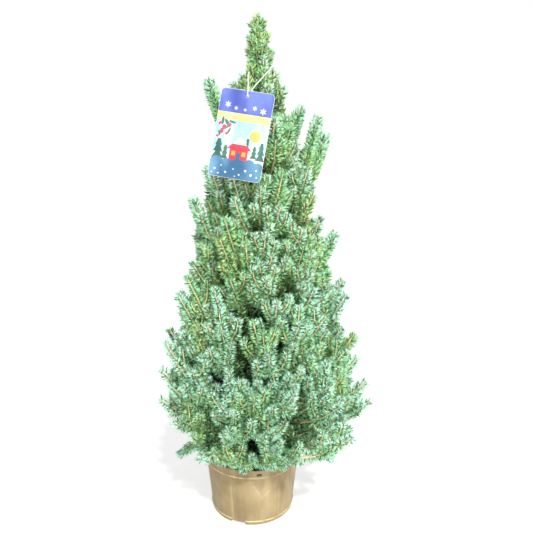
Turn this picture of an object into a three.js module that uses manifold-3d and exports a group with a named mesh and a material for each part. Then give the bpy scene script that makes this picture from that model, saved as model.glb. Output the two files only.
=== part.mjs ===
// A dwarf Alberta spruce in its nursery pot, with a hang tag tied round its leader.
// Millimetres, +Z up. The origin is at the centre of the pot's flat underside, and the front is -Y.
import * as THREE from "three";
import { mergeVertices } from "three/addons/utils/BufferGeometryUtils.js";
import Module from "manifold-3d";

const wasm = await Module();
wasm.setup();

// ---- driving sizes ----
const GAP = 0.3; // between two pieces that touch
const ROUND = 32; // sides of the pot

const POT_HEIGHT = 118;
const POT_RIM_RADIUS = 87;
const POT_FOOT_RADIUS = 74;
const POT_WALL = 2;
const POT_STEP = 7; // height of the foot ring, and of the channel inside it
const RIM_BAND = 15;
const NOTCHES = 3; // drainage notches in the foot ring
const NOTCH_WIDTH = 27;
const FIRST_NOTCH = -109; // degrees, seen from above, so it shows left of the front

const SOIL_TOP = 108;
const TRUNK_TOP = 768;
const TREE_TOP = 858;
const TRUNK_LEAN = 15; // sideways, towards +X
const TRUNK_RADIUS = 8.5;
const TRUNK_TIP_RADIUS = 1.8;
const ROOT_FLARE = 6;
const TRUNK_SIDES = 8;
const TRUNK_RINGS = [0, 5, 12, 24, 60, 150, 260, 400, 540]; // above the soil

const CROWN_REACH = 185; // the crown's largest radius
const CROWN_WIDEST = 215; // at this height
const CROWN_TAPER = 0.85; // 1 is a straight cone
const CROWN_TUCK = 4.4; // how fast it draws in again below its widest
const BULGE = 0.12; // the low crown is fuller on the +X side

const NEEDLE_REACH = 13; // from a shoot's middle to its needles' tips
const FAIR_REACH = 9.5; // a shoot is drawn in until it has this much room
const LEAST_REACH = 6; // and left out with less than this
const SHOOT_LENGTH = 84;
const TWIG_RADIUS = 2.2;
const BOUGH_RADIUS = 4.2;
const SKIRT_SLOPE = 1.2; // how fast the lowest shoots may droop outside the rim

// Each tier's upper bound meets the crown's outline at `top`, and rises there by `rise` (1 is 45 degrees).
// `rows` are the shoots on each mass, from the lowest row up. The first three tiers stand on boughs.
const TIERS = [
  { name: "skirt", masses: 6, turn: 0, top: 225, rise: 1.0, rows: [2, 3, 3] },
  { name: "low", masses: 6, turn: 30, top: 345, rise: 1.8, rows: [2, 3, 3] },
  { name: "lower_middle", masses: 5, turn: 8, top: 460, rise: 2.2, rows: [2, 3, 2] },
  { name: "middle", masses: 5, turn: 44, top: 565, rise: 2.6, rows: [2, 3, 2] },
  { name: "upper_middle", masses: 4, turn: 0, top: 655, rise: 3.0, rows: [2, 3, 2] },
  { name: "shoulder", masses: 4, turn: 45, top: 735, rise: 3.6, rows: [2, 2, 2] },
  { name: "crest", masses: 3, turn: 30, top: 795, rise: 4.0, rows: [2, 2] },
];
const BOUGH_TIERS = 3;
const LEADER_SEED = 97;
const LEADER_SHOOTS = 7;
const LEADER_TURN = 137.5; // degrees from one side shoot to the next
const LEADER_SIDE = 36; // the lowest side shoot's length

// Shoots that stand out of the even outline: the heading round the trunk, and the tip's radius and height.
const STRAYS = [
  { heading: 172, radius: 80, height: 758, length: 92 },
  { heading: -6, radius: 93, height: 704, length: 88 },
  { heading: 18, radius: 70, height: 716, length: 80 },
  { heading: 6, radius: 106, height: 676, length: 90 },
  { heading: 176, radius: 110, height: 572, length: 80 },
  { heading: -8, radius: 124, height: 518, length: 84 },
  { heading: -4, radius: 192, height: 208, length: 96 },
  { heading: -12, radius: 148, height: 106, length: 62 },
  { heading: 188, radius: 132, height: 108, length: 56 },
];

const TAG = { width: 81, height: 129, thickness: 0.6, corner: 6, hole: 1.9, holeDrop: 8 };
const TAG_HOLE = new THREE.Vector3(-1, -72, 737); // where the hole hangs
const TAG_ROLL = 8; // degrees, clockwise from the front
const TAG_LEAN = 12; // its foot stands out from the crown
const TAG_YAW = 12; // its right edge comes forward
const STRING_RADIUS = 0.6;

// ---- materials ----
const finish = (color, roughness, metalness = 0) =>
  new THREE.MeshStandardMaterial({ color, roughness, metalness });
const POT_FINISH = finish(0xb8a06a, 0.38, 0.35);
const SOIL_FINISH = finish(0x2e2218, 0.95);
const BARK_FINISH = finish(0x9a7450, 0.85);
const NEEDLE_FINISH = finish(0x5f9462, 0.6);
const FROSTED_FINISH = finish(0x7cb08a, 0.6);
const CARD_FINISH = finish(0xdfe6f2, 0.3);
const STRING_FINISH = finish(0xf2f2ee, 0.5);

// ---- small helpers ----
const rad = THREE.MathUtils.degToRad;
const { lerp, smoothstep } = THREE.MathUtils;
const UP = new THREE.Vector3(0, 0, 1);
const TINY = 1e-6;

// The minimal standard generator, so that the same seed always grows the same twigs.
function seeded(seed) {
  let state = seed * 7919;
  return () => {
    state = (state * 16807) % 2147483647;
    return state / 2147483647;
  };
}

// A closed geometry as a solid that can be joined and cut.
function solid(geometry) {
  const bare = geometry.index ? geometry.toNonIndexed() : geometry.clone();
  for (const name of Object.keys(bare.attributes)) if (name !== "position") bare.deleteAttribute(name);
  const merged = mergeVertices(bare, 1e-4);
  const vertProperties = new Float32Array(merged.attributes.position.array);
  const triVerts = new Uint32Array(merged.index.array);
  return new wasm.Manifold(new wasm.Mesh({ numProp: 3, vertProperties, triVerts }));
}

const join = (solids) => solids.reduce((whole, piece) => whole.add(piece));

// The largest body of a solid: a cut can leave a loose scrap.
function mainBody(body) {
  const bodies = body.decompose();
  return bodies.reduce((a, b) => (b.volume() > a.volume() ? b : a));
}

function piece(name, body, material) {
  const { vertProperties, triVerts } = body.getMesh();
  const geometry = new THREE.BufferGeometry();
  geometry.setAttribute("position", new THREE.BufferAttribute(vertProperties, 3));
  geometry.setIndex(new THREE.BufferAttribute(triVerts, 1));
  const flat = geometry.toNonIndexed();
  flat.computeVertexNormals();
  const mesh = new THREE.Mesh(flat, material);
  mesh.name = name;
  return mesh;
}

// Wraps an upright unit cylinder or cone round a path. place(t, side, ring) gives the radius there, and how
// far forward along the path the point is pushed.
function wrap(shape, sides, rings, path, place) {
  const points = shape.attributes.position;
  for (let i = 0; i < points.count; i++) {
    const t = points.getY(i) + 0.5;
    const spread = Math.hypot(points.getX(i), points.getZ(i));
    const turn = Math.atan2(points.getZ(i), points.getX(i));
    const side = Math.round((turn / (2 * Math.PI)) * sides);
    const { radius, push = 0 } = place(t, side, Math.round(t * rings));
    const along = path.getTangent(t);
    const across = new THREE.Vector3().crossVectors(along, UP).normalize();
    const over = new THREE.Vector3().crossVectors(across, along);
    const at = path.getPoint(t);
    if (spread > TINY) {
      at.addScaledVector(along, push);
      at.addScaledVector(across, radius * Math.cos(turn));
      at.addScaledVector(over, radius * Math.sin(turn));
    }
    points.setXYZ(i, at.x, at.y, at.z);
  }
  return shape;
}

// A limb that tapers from one radius to the other along a path.
function limb(path, from, to, sides, steps) {
  const shape = new THREE.CylinderGeometry(1, 1, 1, sides, steps);
  return wrap(shape, sides, steps, path, (t) => ({ radius: lerp(from, to, t) }));
}

// A shoot: a twig that becomes a slim core, of which every other point is drawn out and forward as needles.
function sprayAlong(path, reach, rings = 4, sides = 4) {
  const shape = new THREE.ConeGeometry(1, 1, sides, rings);
  const pitch = path.getLength() / rings;
  return wrap(shape, sides, rings, path, (t, side, ring) => {
    if (ring === 0) return { radius: Math.min(TWIG_RADIUS, 0.4 * reach) };
    const needle = (side + ring) % 2 !== 0;
    if (!needle) return { radius: 0.32 * reach };
    return { radius: reach * NEEDLES_AT(t), push: (0.3 + 0.5 * t) * pitch };
  });
}
const NEEDLES_AT = (t) => 1 - 0.2 * t; // shorter towards the tip

// ---- the pot, the compost and the trunk ----
function lathe(profile) {
  const points = profile.map(([radius, z]) => new THREE.Vector2(radius, z));
  return new THREE.LatheGeometry(points, ROUND).rotateX(Math.PI / 2);
}

const BAND_FOOT = POT_HEIGHT - RIM_BAND;
const FLOOR = POT_STEP - POT_WALL; // the underside of the floor, over the channel
const PAD_RADIUS = 44; // the flat middle of the underside
const CHANNEL_RADIUS = 66;

// The wall's outside, which widens from the foot ring to the rim's band.
function bodyRadius(z) {
  return lerp(POT_FOOT_RADIUS + 1.5, POT_RIM_RADIUS - 2.5, (z - POT_STEP) / (BAND_FOOT - POT_STEP));
}

function potSolid() {
  const shell = solid(
    lathe([
      [0, 0],
      [PAD_RADIUS, 0],
      [PAD_RADIUS + 4, FLOOR],
      [CHANNEL_RADIUS, FLOOR],
      [CHANNEL_RADIUS + 0.5, 0],
      [POT_FOOT_RADIUS, 0],
      [POT_FOOT_RADIUS, POT_STEP],
      [bodyRadius(POT_STEP), POT_STEP],
      [bodyRadius(BAND_FOOT), BAND_FOOT],
      [POT_RIM_RADIUS, BAND_FOOT + 1],
      [POT_RIM_RADIUS, POT_HEIGHT - 1.5],
      [POT_RIM_RADIUS - 1.5, POT_HEIGHT],
      [POT_RIM_RADIUS - 4, POT_HEIGHT],
      [bodyRadius(BAND_FOOT) - POT_WALL, BAND_FOOT - 2],
      [bodyRadius(POT_STEP) - POT_WALL, POT_STEP],
      [0, POT_STEP],
    ]),
  );
  return shell.subtract(join(Array.from({ length: NOTCHES }, (_, n) => notch((360 * n) / NOTCHES))));
}

function notch(turn) {
  const depth = 2 * (POT_FOOT_RADIUS - CHANNEL_RADIUS + 1);
  const cut = new THREE.BoxGeometry(depth, NOTCH_WIDTH, 2 * FLOOR);
  return solid(cut.translate(POT_FOOT_RADIUS, 0, 0).rotateZ(rad(FIRST_NOTCH + turn)));
}

function soilSolid() {
  const inside = (z) => bodyRadius(z) - POT_WALL - 2 * GAP;
  const shoulder = BAND_FOOT - 2;
  return solid(
    lathe([
      [0, POT_STEP + GAP],
      [inside(POT_STEP), POT_STEP + GAP],
      [inside(shoulder), shoulder],
      [inside(shoulder), SOIL_TOP - 3],
      [0.4 * POT_RIM_RADIUS, SOIL_TOP],
      [0, SOIL_TOP],
    ]),
  );
}

// The trunk's middle line: upright, and leaning to +X as it rises.
const axisAt = (z) => new THREE.Vector3(TRUNK_LEAN * smoothstep(z, SOIL_TOP, 420), 0, z);

function trunkRadius(z) {
  const t = (z - SOIL_TOP) / (TRUNK_TOP - SOIL_TOP);
  return lerp(TRUNK_RADIUS, TRUNK_TIP_RADIUS, t) + ROOT_FLARE * Math.exp(-(z - SOIL_TOP) / 9);
}

function trunkSolid(extra = 0) {
  const heights = [...TRUNK_RINGS, TRUNK_TOP - SOIL_TOP - 2 * GAP];
  const shape = new THREE.CylinderGeometry(1, 1, 1, TRUNK_SIDES, heights.length - 1);
  const points = shape.attributes.position;
  for (let i = 0; i < points.count; i++) {
    const ring = Math.round((points.getY(i) + 0.5) * (heights.length - 1));
    const z = SOIL_TOP + GAP + heights[ring];
    const at = axisAt(z);
    const radius = trunkRadius(z) + extra;
    points.setXYZ(i, at.x + radius * points.getX(i), at.y - radius * points.getZ(i), z);
  }
  return solid(shape);
}

// ---- the crown's outline and the cells that its masses keep to ----
function outline(z) {
  const above = Math.max(0, (z - CROWN_WIDEST) / (TREE_TOP - CROWN_WIDEST));
  const below = Math.max(0, (CROWN_WIDEST - z) / CROWN_WIDEST);
  const tucked = Math.max(0.5, 1 - CROWN_TUCK * below * below);
  return CROWN_REACH * Math.pow(Math.max(0, 1 - above), CROWN_TAPER) * tucked;
}
const bulge = (heading, z) => 1 + BULGE * Math.cos(heading) * (1 - smoothstep(z, 150, 420));

// A point at a heading and a radius round the trunk.
function around(heading, radius, z) {
  return axisAt(z).add(new THREE.Vector3(radius * Math.cos(heading), radius * Math.sin(heading), 0));
}

// A bound is a bowl: flat at the trunk and rising outwards, as the boughs do.
function bowl({ top, rise }) {
  const edge = outline(top);
  const foot = top - (rise * edge) / 2;
  return {
    height: (r) => foot + (rise * r * r) / (2 * edge),
    slope: (r) => (rise * r) / edge,
  };
}

// The lowest bound: flat over the pot, and falling away outside its rim.
const SKIRT = {
  height: (r) => POT_HEIGHT + 1 - Math.max(0, r - POT_RIM_RADIUS - 2) * SKIRT_SLOPE,
  slope: (r) => (r > POT_RIM_RADIUS + 2 ? -SKIRT_SLOPE : 0),
};
const BOUNDS = [SKIRT, ...TIERS.map(bowl)];

const angleBetween = (a, b) => Math.abs(Math.atan2(Math.sin(a - b), Math.cos(a - b)));

function cellOf(tierIndex, number) {
  const tier = TIERS[tierIndex];
  const under = BOUNDS[tierIndex];
  const over = BOUNDS[tierIndex + 1];
  const half = Math.PI / tier.masses;
  const heading = rad(tier.turn) + 2 * half * number;
  // A heading, told so that it lies within half a turn of the cell's own.
  const nearest = (other) => heading + Math.atan2(Math.sin(other - heading), Math.cos(other - heading));
  const level = (r, share) => lerp(under.height(r), over.height(r), share);
  const shareAt = (r, z) => (z - under.height(r)) / (over.height(r) - under.height(r));
  const rise = (r, share) => lerp(under.slope(r), over.slope(r), share);
  // How far a point is inside the cell, measured to its nearest side.
  const depth = (p) => {
    const axis = axisAt(p.z);
    const r = Math.hypot(p.x - axis.x, p.y - axis.y);
    const off = angleBetween(Math.atan2(p.y - axis.y, p.x - axis.x), heading);
    if (off >= half) return -1;
    const side = r * Math.sin(Math.min(Math.PI / 2, half - off));
    const below = (p.z - under.height(r)) / Math.hypot(1, under.slope(r));
    const above = (over.height(r) - p.z) / Math.hypot(1, over.slope(r));
    return Math.min(side, below, above);
  };
  return { heading, half, nearest, level, shareAt, rise, depth, tier };
}

// ---- the hang tag and its string ----
const tagFrame = new THREE.Matrix4()
  .makeTranslation(TAG_HOLE)
  .multiply(new THREE.Matrix4().makeRotationZ(rad(-TAG_YAW)))
  .multiply(new THREE.Matrix4().makeRotationX(rad(90 - TAG_LEAN)))
  .multiply(new THREE.Matrix4().makeRotationZ(rad(-TAG_ROLL)));

function tagSolid() {
  const { width, height, thickness, corner, hole, holeDrop } = TAG;
  const [left, right, top, foot] = [-width / 2, width / 2, holeDrop, holeDrop - height];
  const card = new THREE.Shape();
  card.moveTo(left + corner, foot);
  card.absarc(right - corner, foot + corner, corner, -Math.PI / 2, 0);
  card.absarc(right - corner, top - corner, corner, 0, Math.PI / 2);
  card.absarc(left + corner, top - corner, corner, Math.PI / 2, Math.PI);
  card.absarc(left + corner, foot + corner, corner, Math.PI, 1.5 * Math.PI);
  card.holes.push(new THREE.Path().absarc(0, 0, hole, 0, 2 * Math.PI, true));
  const extrusion = { depth: thickness, bevelEnabled: false, curveSegments: 3 };
  const plate = new THREE.ExtrudeGeometry(card, extrusion);
  return solid(plate.translate(0, 0, -thickness / 2));
}

// The string runs from a knot behind the leader, down in front of the card, back through its hole and up.
const onTag = (x, y, depth) => new THREE.Vector3(x, y, depth).applyMatrix4(tagFrame);
const STRING_PATH = new THREE.CatmullRomCurve3([
  new THREE.Vector3(21, 12.5, 771),
  new THREE.Vector3(4, 9, 772),
  new THREE.Vector3(1, -10, 774),
  new THREE.Vector3(-1, -36, 768),
  onTag(-0.5, 13, 5),
  onTag(0, 2.5, 2.6),
  onTag(0, 0, 0),
  onTag(0.3, 2.5, -2.6),
  onTag(4, 13, -6),
  new THREE.Vector3(26, -40, 770),
  new THREE.Vector3(40, -15, 787),
  new THREE.Vector3(37, 3, 783),
  new THREE.Vector3(23, 12.5, 771.8),
]);
STRING_PATH.getUtoTmapping = (share) => share; // the closest steps are at the hole, where its points are

function stringSolid() {
  const section = new THREE.Shape();
  section.absarc(0, 0, STRING_RADIUS, 0, 2 * Math.PI);
  const run = new THREE.ExtrudeGeometry(section, { steps: 36, extrudePath: STRING_PATH, curveSegments: 3 });
  const knot = new THREE.IcosahedronGeometry(3 * STRING_RADIUS, 0);
  return solid(run).add(solid(knot.translate(...STRING_PATH.getPoint(0).toArray())));
}

const STRING_POINTS = STRING_PATH.getSpacedPoints(120);
const roomAtString = (p) => Math.min(...STRING_POINTS.map((q) => p.distanceTo(q))) - STRING_RADIUS;

// Behind the card its own plane is the limit.
const toTag = tagFrame.clone().invert();
function roomAtTag(p) {
  const q = p.clone().applyMatrix4(toTag);
  const beside = Math.abs(q.x) - TAG.width / 2;
  const above = q.y - TAG.holeDrop;
  return Math.max(beside, above, -above - TAG.height, -TAG.thickness / 2 - q.z);
}

// ---- shoots ----
// The needles' reach that has room all along a path.
function roomAlong(cell, path) {
  const samples = [0.3, 0.45, 0.6, 0.75, 0.9, 1];
  const room = samples.map((t) => {
    const p = path.getPoint(t);
    const clear = Math.min(cell.depth(p), roomAtBough(cell, p), roomAtTag(p), roomAtString(p)) - GAP;
    return clear / (t < 1 ? NEEDLES_AT(t - 0.1) : 0.5);
  });
  return Math.min(NEEDLE_REACH, ...room);
}

const roomAtBough = (cell, p) => Math.min(...cell.bough.map((q) => p.distanceTo(q))) - BOUGH_RADIUS;
const DRAWN_IN = [1, 0.94, 0.88, 0.82, 0.76];

// A shoot follows its bowl, so that it bends up as it goes out, and it is drawn in until its needles fit.
function shootTo(cell, heading, share, radius, length) {
  // The point at a radius, turned from the mass's middle line towards the tip by a share of the way.
  const at = (r, turn) => {
    const turned = lerp(cell.heading, cell.nearest(heading), turn);
    return around(turned, r, cell.level(r, lerp(0.5, share, turn)));
  };
  let best = null;
  for (const drawn of DRAWN_IN) {
    const outer = radius * drawn;
    const run = length * Math.cos(Math.atan(cell.rise(outer, share)));
    const inner = Math.max(outer - run, 0.25 * outer);
    const heart = Math.min(0.55 * outline(cell.tier.top), inner);
    const points = [at(heart, 0.4), at(inner, 0.75), at((inner + outer) / 2, 0.9), at(outer, 1)];
    const path = new THREE.CatmullRomCurve3(points);
    const reach = roomAlong(cell, path);
    if (!best || reach > best.reach) best = { path, reach };
    if (reach > FAIR_REACH) break;
  }
  return best.reach > LEAST_REACH ? best : null;
}

// The radius at which a share of the cell's height comes out at the crown's outline.
function outlineRadius(cell, heading, share) {
  let inside = 0;
  let outside = 1.5 * CROWN_REACH;
  for (let i = 0; i < 16; i++) {
    const r = (inside + outside) / 2;
    const z = cell.level(r, share);
    if (r < outline(z) * bulge(heading, z)) inside = r;
    else outside = r;
  }
  return inside;
}

// The shoots of one mass: its strays, then rows of shoots over the cell's outer face.
function shootsOf(cell, random) {
  const { rows } = cell.tier;
  const shoots = [];
  for (const { heading, radius, height, length } of STRAYS) {
    if (cell.depth(around(rad(heading), radius, height)) < 0) continue;
    shoots.push(shootTo(cell, rad(heading), cell.shareAt(radius, height), radius, length));
  }
  rows.forEach((count, row) => {
    for (let n = 0; n < count; n++) {
      const share = (row + 0.5 + 0.3 * (random() - 0.5)) / rows.length;
      const across = (2 * n + 1) / count - 1 + (0.4 * (random() - 0.5)) / count;
      const heading = cell.heading + 0.9 * across * cell.half;
      const radius = outlineRadius(cell, heading, share) * (0.94 + 0.12 * random());
      const length = Math.min(SHOOT_LENGTH * (0.85 + 0.3 * random()), radius);
      shoots.push(shootTo(cell, heading, share, radius, length));
    }
  });
  return shoots.filter(Boolean);
}

// ---- masses and boughs ----
const TRUNK_CLEARANCE = trunkSolid(GAP);
const CORE = { to: 0.7, width: 0.8, height: 0.74 }; // shares of the cell's radius, width and height

// The dense heart of a mass: a lumpy ball stretched into its cell.
function coreOf(cell, from, to, random) {
  const facets = new THREE.OctahedronGeometry(1, 1).deleteAttribute("normal").deleteAttribute("uv");
  const ball = mergeVertices(facets);
  const points = ball.attributes.position;
  for (let i = 0; i < points.count; i++) {
    const lump = 0.8 + 0.25 * random();
    const r = lerp(from, to, (1 + lump * points.getX(i)) / 2);
    const z = cell.level(r, 0.5 + 0.5 * CORE.height * lump * points.getZ(i));
    const at = around(cell.heading + CORE.width * cell.half * lump * points.getY(i), r, z);
    points.setXYZ(i, at.x, at.y, at.z);
  }
  return ball;
}

// The cell's middle line, which its bough and its stem follow.
function middleLine(cell, from, to) {
  const steps = 4;
  const points = Array.from({ length: steps + 1 }, (_, i) => {
    const r = lerp(from, to, i / steps);
    return around(cell.heading, r, cell.level(r, 0.5));
  });
  return new THREE.CatmullRomCurve3(points);
}

function growMass(cell, seed, hasBough) {
  const random = seeded(seed);
  const edge = outline(cell.tier.top);
  const foot = trunkRadius(cell.level(0, 0.5));
  const fork = foot + 0.28 * edge;
  const boughLine = middleLine(cell, foot, hasBough ? fork : foot + GAP);
  cell.bough = boughLine.getPoints(8);
  const stem = middleLine(cell, hasBough ? fork + 2 * GAP : foot, 0.6 * edge);
  const pieces = [
    limb(stem, 1.3 * TWIG_RADIUS, TWIG_RADIUS, 4, 2),
    coreOf(cell, fork + 3, CORE.to * edge, random),
    ...shootsOf(cell, random).map(({ path, reach }) => sprayAlong(path, reach)),
  ];
  const limbOf = (extra) => solid(limb(boughLine, BOUGH_RADIUS + extra, 0.7 * BOUGH_RADIUS + extra, 6, 2));
  const mass = join(pieces.map(solid)).subtract(TRUNK_CLEARANCE);
  if (!hasBough) return { body: mainBody(mass) };
  return { body: mainBody(mass.subtract(limbOf(GAP))), bough: limbOf(0).subtract(TRUNK_CLEARANCE) };
}

// The leader: the trunk's own last shoot, with small side shoots pressed close to it.
function growLeader(seed) {
  const random = seeded(seed);
  const foot = axisAt(TRUNK_TOP);
  const top = new THREE.Vector3(foot.x - 2, foot.y, TREE_TOP);
  const along = (share) => foot.clone().lerp(top, share);
  const stem = new THREE.LineCurve3(foot, along(0.6));
  const pieces = [
    limb(stem, TRUNK_TIP_RADIUS, 0.7 * TRUNK_TIP_RADIUS, 5, 1),
    sprayAlong(new THREE.LineCurve3(along(0.4), top), 14),
  ];
  for (let n = 0; n < LEADER_SHOOTS; n++) {
    const heading = rad(LEADER_TURN * n) + 0.4 * random();
    const root = along(0.04 + (0.56 * n) / LEADER_SHOOTS);
    const out = new THREE.Vector3(Math.cos(heading), Math.sin(heading), 0);
    const length = LEADER_SIDE * (1 - (0.4 * n) / LEADER_SHOOTS);
    const tip = root.clone().addScaledVector(out, 0.5 * length).addScaledVector(UP, 0.87 * length);
    pieces.push(sprayAlong(new THREE.LineCurve3(root, tip), 9, 3));
  }
  return mainBody(join(pieces.map(solid)).subtract(TRUNK_CLEARANCE));
}

// ---- the part ----
const part = new THREE.Group();
part.add(piece("pot", potSolid(), POT_FINISH));
part.add(piece("compost", soilSolid(), SOIL_FINISH));
part.add(piece("trunk", trunkSolid(), BARK_FINISH));

TIERS.forEach((tier, t) => {
  const onBoughs = t < BOUGH_TIERS;
  for (let n = 0; n < tier.masses; n++) {
    const { body, bough } = growMass(cellOf(t, n), 10 * (t + 1) + n, onBoughs);
    part.add(piece(`${tier.name}_foliage_${n + 1}`, body, onBoughs ? FROSTED_FINISH : NEEDLE_FINISH));
    if (bough) part.add(piece(`${tier.name}_bough_${n + 1}`, bough, BARK_FINISH));
  }
});
part.add(piece("leader_foliage", growLeader(LEADER_SEED), NEEDLE_FINISH));

const tag = piece("hang_tag", tagSolid(), CARD_FINISH);
tag.applyMatrix4(tagFrame);
part.add(tag, piece("tag_string", stringSolid(), STRING_FINISH));

export default part;
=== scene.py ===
"""A dwarf Alberta spruce in a gold-painted nursery pot, with a hang tag tied round its leader."""

import math

import bmesh
import bpy
import numpy as np
from mathutils import Matrix, Vector, noise


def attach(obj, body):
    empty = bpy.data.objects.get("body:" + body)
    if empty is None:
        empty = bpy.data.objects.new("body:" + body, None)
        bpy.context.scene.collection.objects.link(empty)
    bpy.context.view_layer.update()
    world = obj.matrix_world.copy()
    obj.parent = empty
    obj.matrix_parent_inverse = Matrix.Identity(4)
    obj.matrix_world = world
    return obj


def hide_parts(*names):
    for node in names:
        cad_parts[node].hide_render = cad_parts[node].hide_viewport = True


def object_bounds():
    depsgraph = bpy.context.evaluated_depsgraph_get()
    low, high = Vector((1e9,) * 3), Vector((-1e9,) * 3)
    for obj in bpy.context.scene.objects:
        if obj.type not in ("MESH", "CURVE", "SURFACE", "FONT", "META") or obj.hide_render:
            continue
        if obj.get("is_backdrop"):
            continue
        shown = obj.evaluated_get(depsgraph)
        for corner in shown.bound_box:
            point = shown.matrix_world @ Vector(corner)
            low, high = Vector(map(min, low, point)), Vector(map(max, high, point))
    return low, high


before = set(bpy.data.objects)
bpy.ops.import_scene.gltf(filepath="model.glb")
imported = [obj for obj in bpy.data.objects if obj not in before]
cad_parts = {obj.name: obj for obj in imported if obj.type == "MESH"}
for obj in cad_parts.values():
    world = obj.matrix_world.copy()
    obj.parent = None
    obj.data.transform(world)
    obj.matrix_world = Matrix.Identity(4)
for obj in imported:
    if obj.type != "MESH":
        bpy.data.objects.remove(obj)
CAD_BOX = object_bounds()

# The plant grows by the rule of the part's source, in its millimetres, +Z up, with the front at -Y.
MM = 0.001
GAP = 0.3  # between two solids that touch

POT_HEIGHT = 118
POT_RIM_RADIUS = 87
SOIL_TOP = 108
TRUNK_TOP = 768  # the leader stands on the trunk's tip
TREE_TOP = 858
TRUNK_LEAN = 15  # how far the trunk moves to the right as it rises
LEAN_ENDS = 420  # it leans up to this height, and is upright above it
TRUNK_RADIUS = 8.5
TRUNK_TIP_RADIUS = 1.8
ROOT_FLARE = 6  # the trunk's foot is wider by this
FLARE_FADE = 9

CROWN_REACH = 185  # the crown's radius where it is widest
CROWN_WIDEST = 215  # and the height of that place
CROWN_TAPER = 0.85  # 1 is a plain cone above it, and less is fuller
CROWN_TUCK = 4.4  # how soon the crown draws in under it
LEAST_TUCK = 0.5
BULGE = 0.12  # the lower crown reaches further out on the right, and less far on the left
BULGE_FADE = (150, 420)

NEEDLE_REACH = 13  # of the solids' needles, from their shoot
FAIR_REACH = 9.5  # a shoot with this much room isn't drawn in
LEAST_REACH = 6  # and one with less room than this is left out
SHOOT_LENGTH = 84
TWIG_RADIUS = 2.2
BOUGH_RADIUS = 4.2
SKIRT_SLOPE = 1.2  # the skirt's underside falls away by this outside the pot

# Each tier has its number of masses, the first one's heading, the height at which its bowl meets the
# outline, how steeply the bowl rises there, and the shoots in each row of a mass.
TIERS = [
    {"name": "skirt", "masses": 6, "turn": 0, "top": 225, "rise": 1.0, "rows": [2, 3, 3]},
    {"name": "low", "masses": 6, "turn": 30, "top": 345, "rise": 1.8, "rows": [2, 3, 3]},
    {"name": "lower_middle", "masses": 5, "turn": 8, "top": 460, "rise": 2.2, "rows": [2, 3, 2]},
    {"name": "middle", "masses": 5, "turn": 44, "top": 565, "rise": 2.6, "rows": [2, 3, 2]},
    {"name": "upper_middle", "masses": 4, "turn": 0, "top": 655, "rise": 3.0, "rows": [2, 3, 2]},
    {"name": "shoulder", "masses": 4, "turn": 45, "top": 735, "rise": 3.6, "rows": [2, 2, 2]},
    {"name": "crest", "masses": 3, "turn": 30, "top": 795, "rise": 4.0, "rows": [2, 2]},
]
BOUGH_TIERS = 3  # the tiers that stand on boughs, and whose needles have the frosted bloom and are painted lighter to lift the shade on them
BOUGH_SHARE = 0.28  # how far a bough goes, as a share of its tier's radius
CORE_DRAWS = 18  # the random numbers that the solid's core takes before its shoots
LEADER_SEED = 97
LEADER_SHOOTS = 7
LEADER_TURN = 137.5  # degrees from one of the leader's side shoots to the next
LEADER_SIDE = 36  # the length of its lowest side shoot

STRAYS = [  # the shoots that stand out of the crown: where their tips are, and their lengths
    {"heading": 172, "radius": 80, "height": 758, "length": 92},
    {"heading": -6, "radius": 93, "height": 704, "length": 88},
    {"heading": 18, "radius": 70, "height": 716, "length": 80},
    {"heading": 6, "radius": 106, "height": 676, "length": 90},
    {"heading": 176, "radius": 110, "height": 572, "length": 80},
    {"heading": -8, "radius": 124, "height": 518, "length": 84},
    {"heading": -4, "radius": 192, "height": 208, "length": 96},
    {"heading": -12, "radius": 148, "height": 106, "length": 62},
    {"heading": 188, "radius": 132, "height": 108, "length": 56},
]

TAG = {"width": 81, "height": 129, "thickness": 0.6, "corner": 6, "hole": 1.9, "hole_drop": 8}
TAG_HOLE = Vector((-1, -72, 737))
TAG_ROLL = 8  # degrees, as are the next two
TAG_LEAN = 12
TAG_YAW = 12
STRING_RADIUS = 0.6

# The needles. A pair is a range, or the value at a spray's foot and the one at its tip.
GOLDEN_TURN = math.radians(137.5)  # from one needle or twig to the next, round what bears it
NEEDLE_LENGTH = (12.3, 14.8)
NEEDLE_HALF_WIDTHS = {"outer": (0.36, 0.5), "inner": (0.85, 1.25)}
NEEDLE_SPLAY = (70, 47)  # degrees out from the twig
NEEDLE_CURL = (5, 17)  # degrees that a needle bends forward, in each half
NEEDLES_PER_MM = 2.75
STRAY_NEEDLES_PER_MM = 5.5  # on a shoot that stands out alone
INNER_NEEDLES_PER_MM = 0.75
FEWEST_NEEDLES = 6
CROWDING = 0.78  # less than 1 sets more of a spray's needles towards its tip
TIP_STRETCH = 16  # the last of a twig, over which its needles close up
TIP_SIZE = 0.86  # of a needle at the very tip
SPRAY_BANDS = (0.4, 0.78)  # where a spray's foot ends, and where its tip begins
GLEAM_SHARE = 0.13  # of a spray's needles take the gleam tint: partly their pale waxy undersides, partly a painted highlight
SHADE_SHARE = 0.17  # and these take the shaded tint, a painted shade for the dark gaps between needles
ROSETTE = 13  # needles that stand together round a shoot's bud
ROSETTE_LENGTH = (7.5, 10.5)
ROSETTE_SPLAY = (8, 62)

# The twigs.
SIDE_SHOOTS = 6
SIDE_SHOOT_LENGTH = (54, 40)  # the lowest and the highest one on a shoot
SIDE_SHOOT_TRIALS = (1, 0.8, 0.62)  # of that length, until one has room
INNER_TWIGS = 30  # in the heart of a mass
INNER_TWIG_ENDS = (0.56, 0.9)  # of the way out to the crown's outline
SKIRT_INNER_TWIGS = 42  # in one of the lowest masses, which nothing stands behind
LOW_INNER_TWIG_ENDS = (0.5, 0.84)  # in the two lowest tiers
FRINGE_SHOOTS = 30  # that hang over the pot's rim
FRINGE_SEED = 30
LEADER_TUFTS = 16
PIECE_LIMIT = 190_000  # triangles in one piece

UP = np.array([0.0, 0.0, 1.0])
TINY = 1e-9


# ---- small helpers ----
def lerp(a, b, t):
    return a + (b - a) * t


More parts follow.
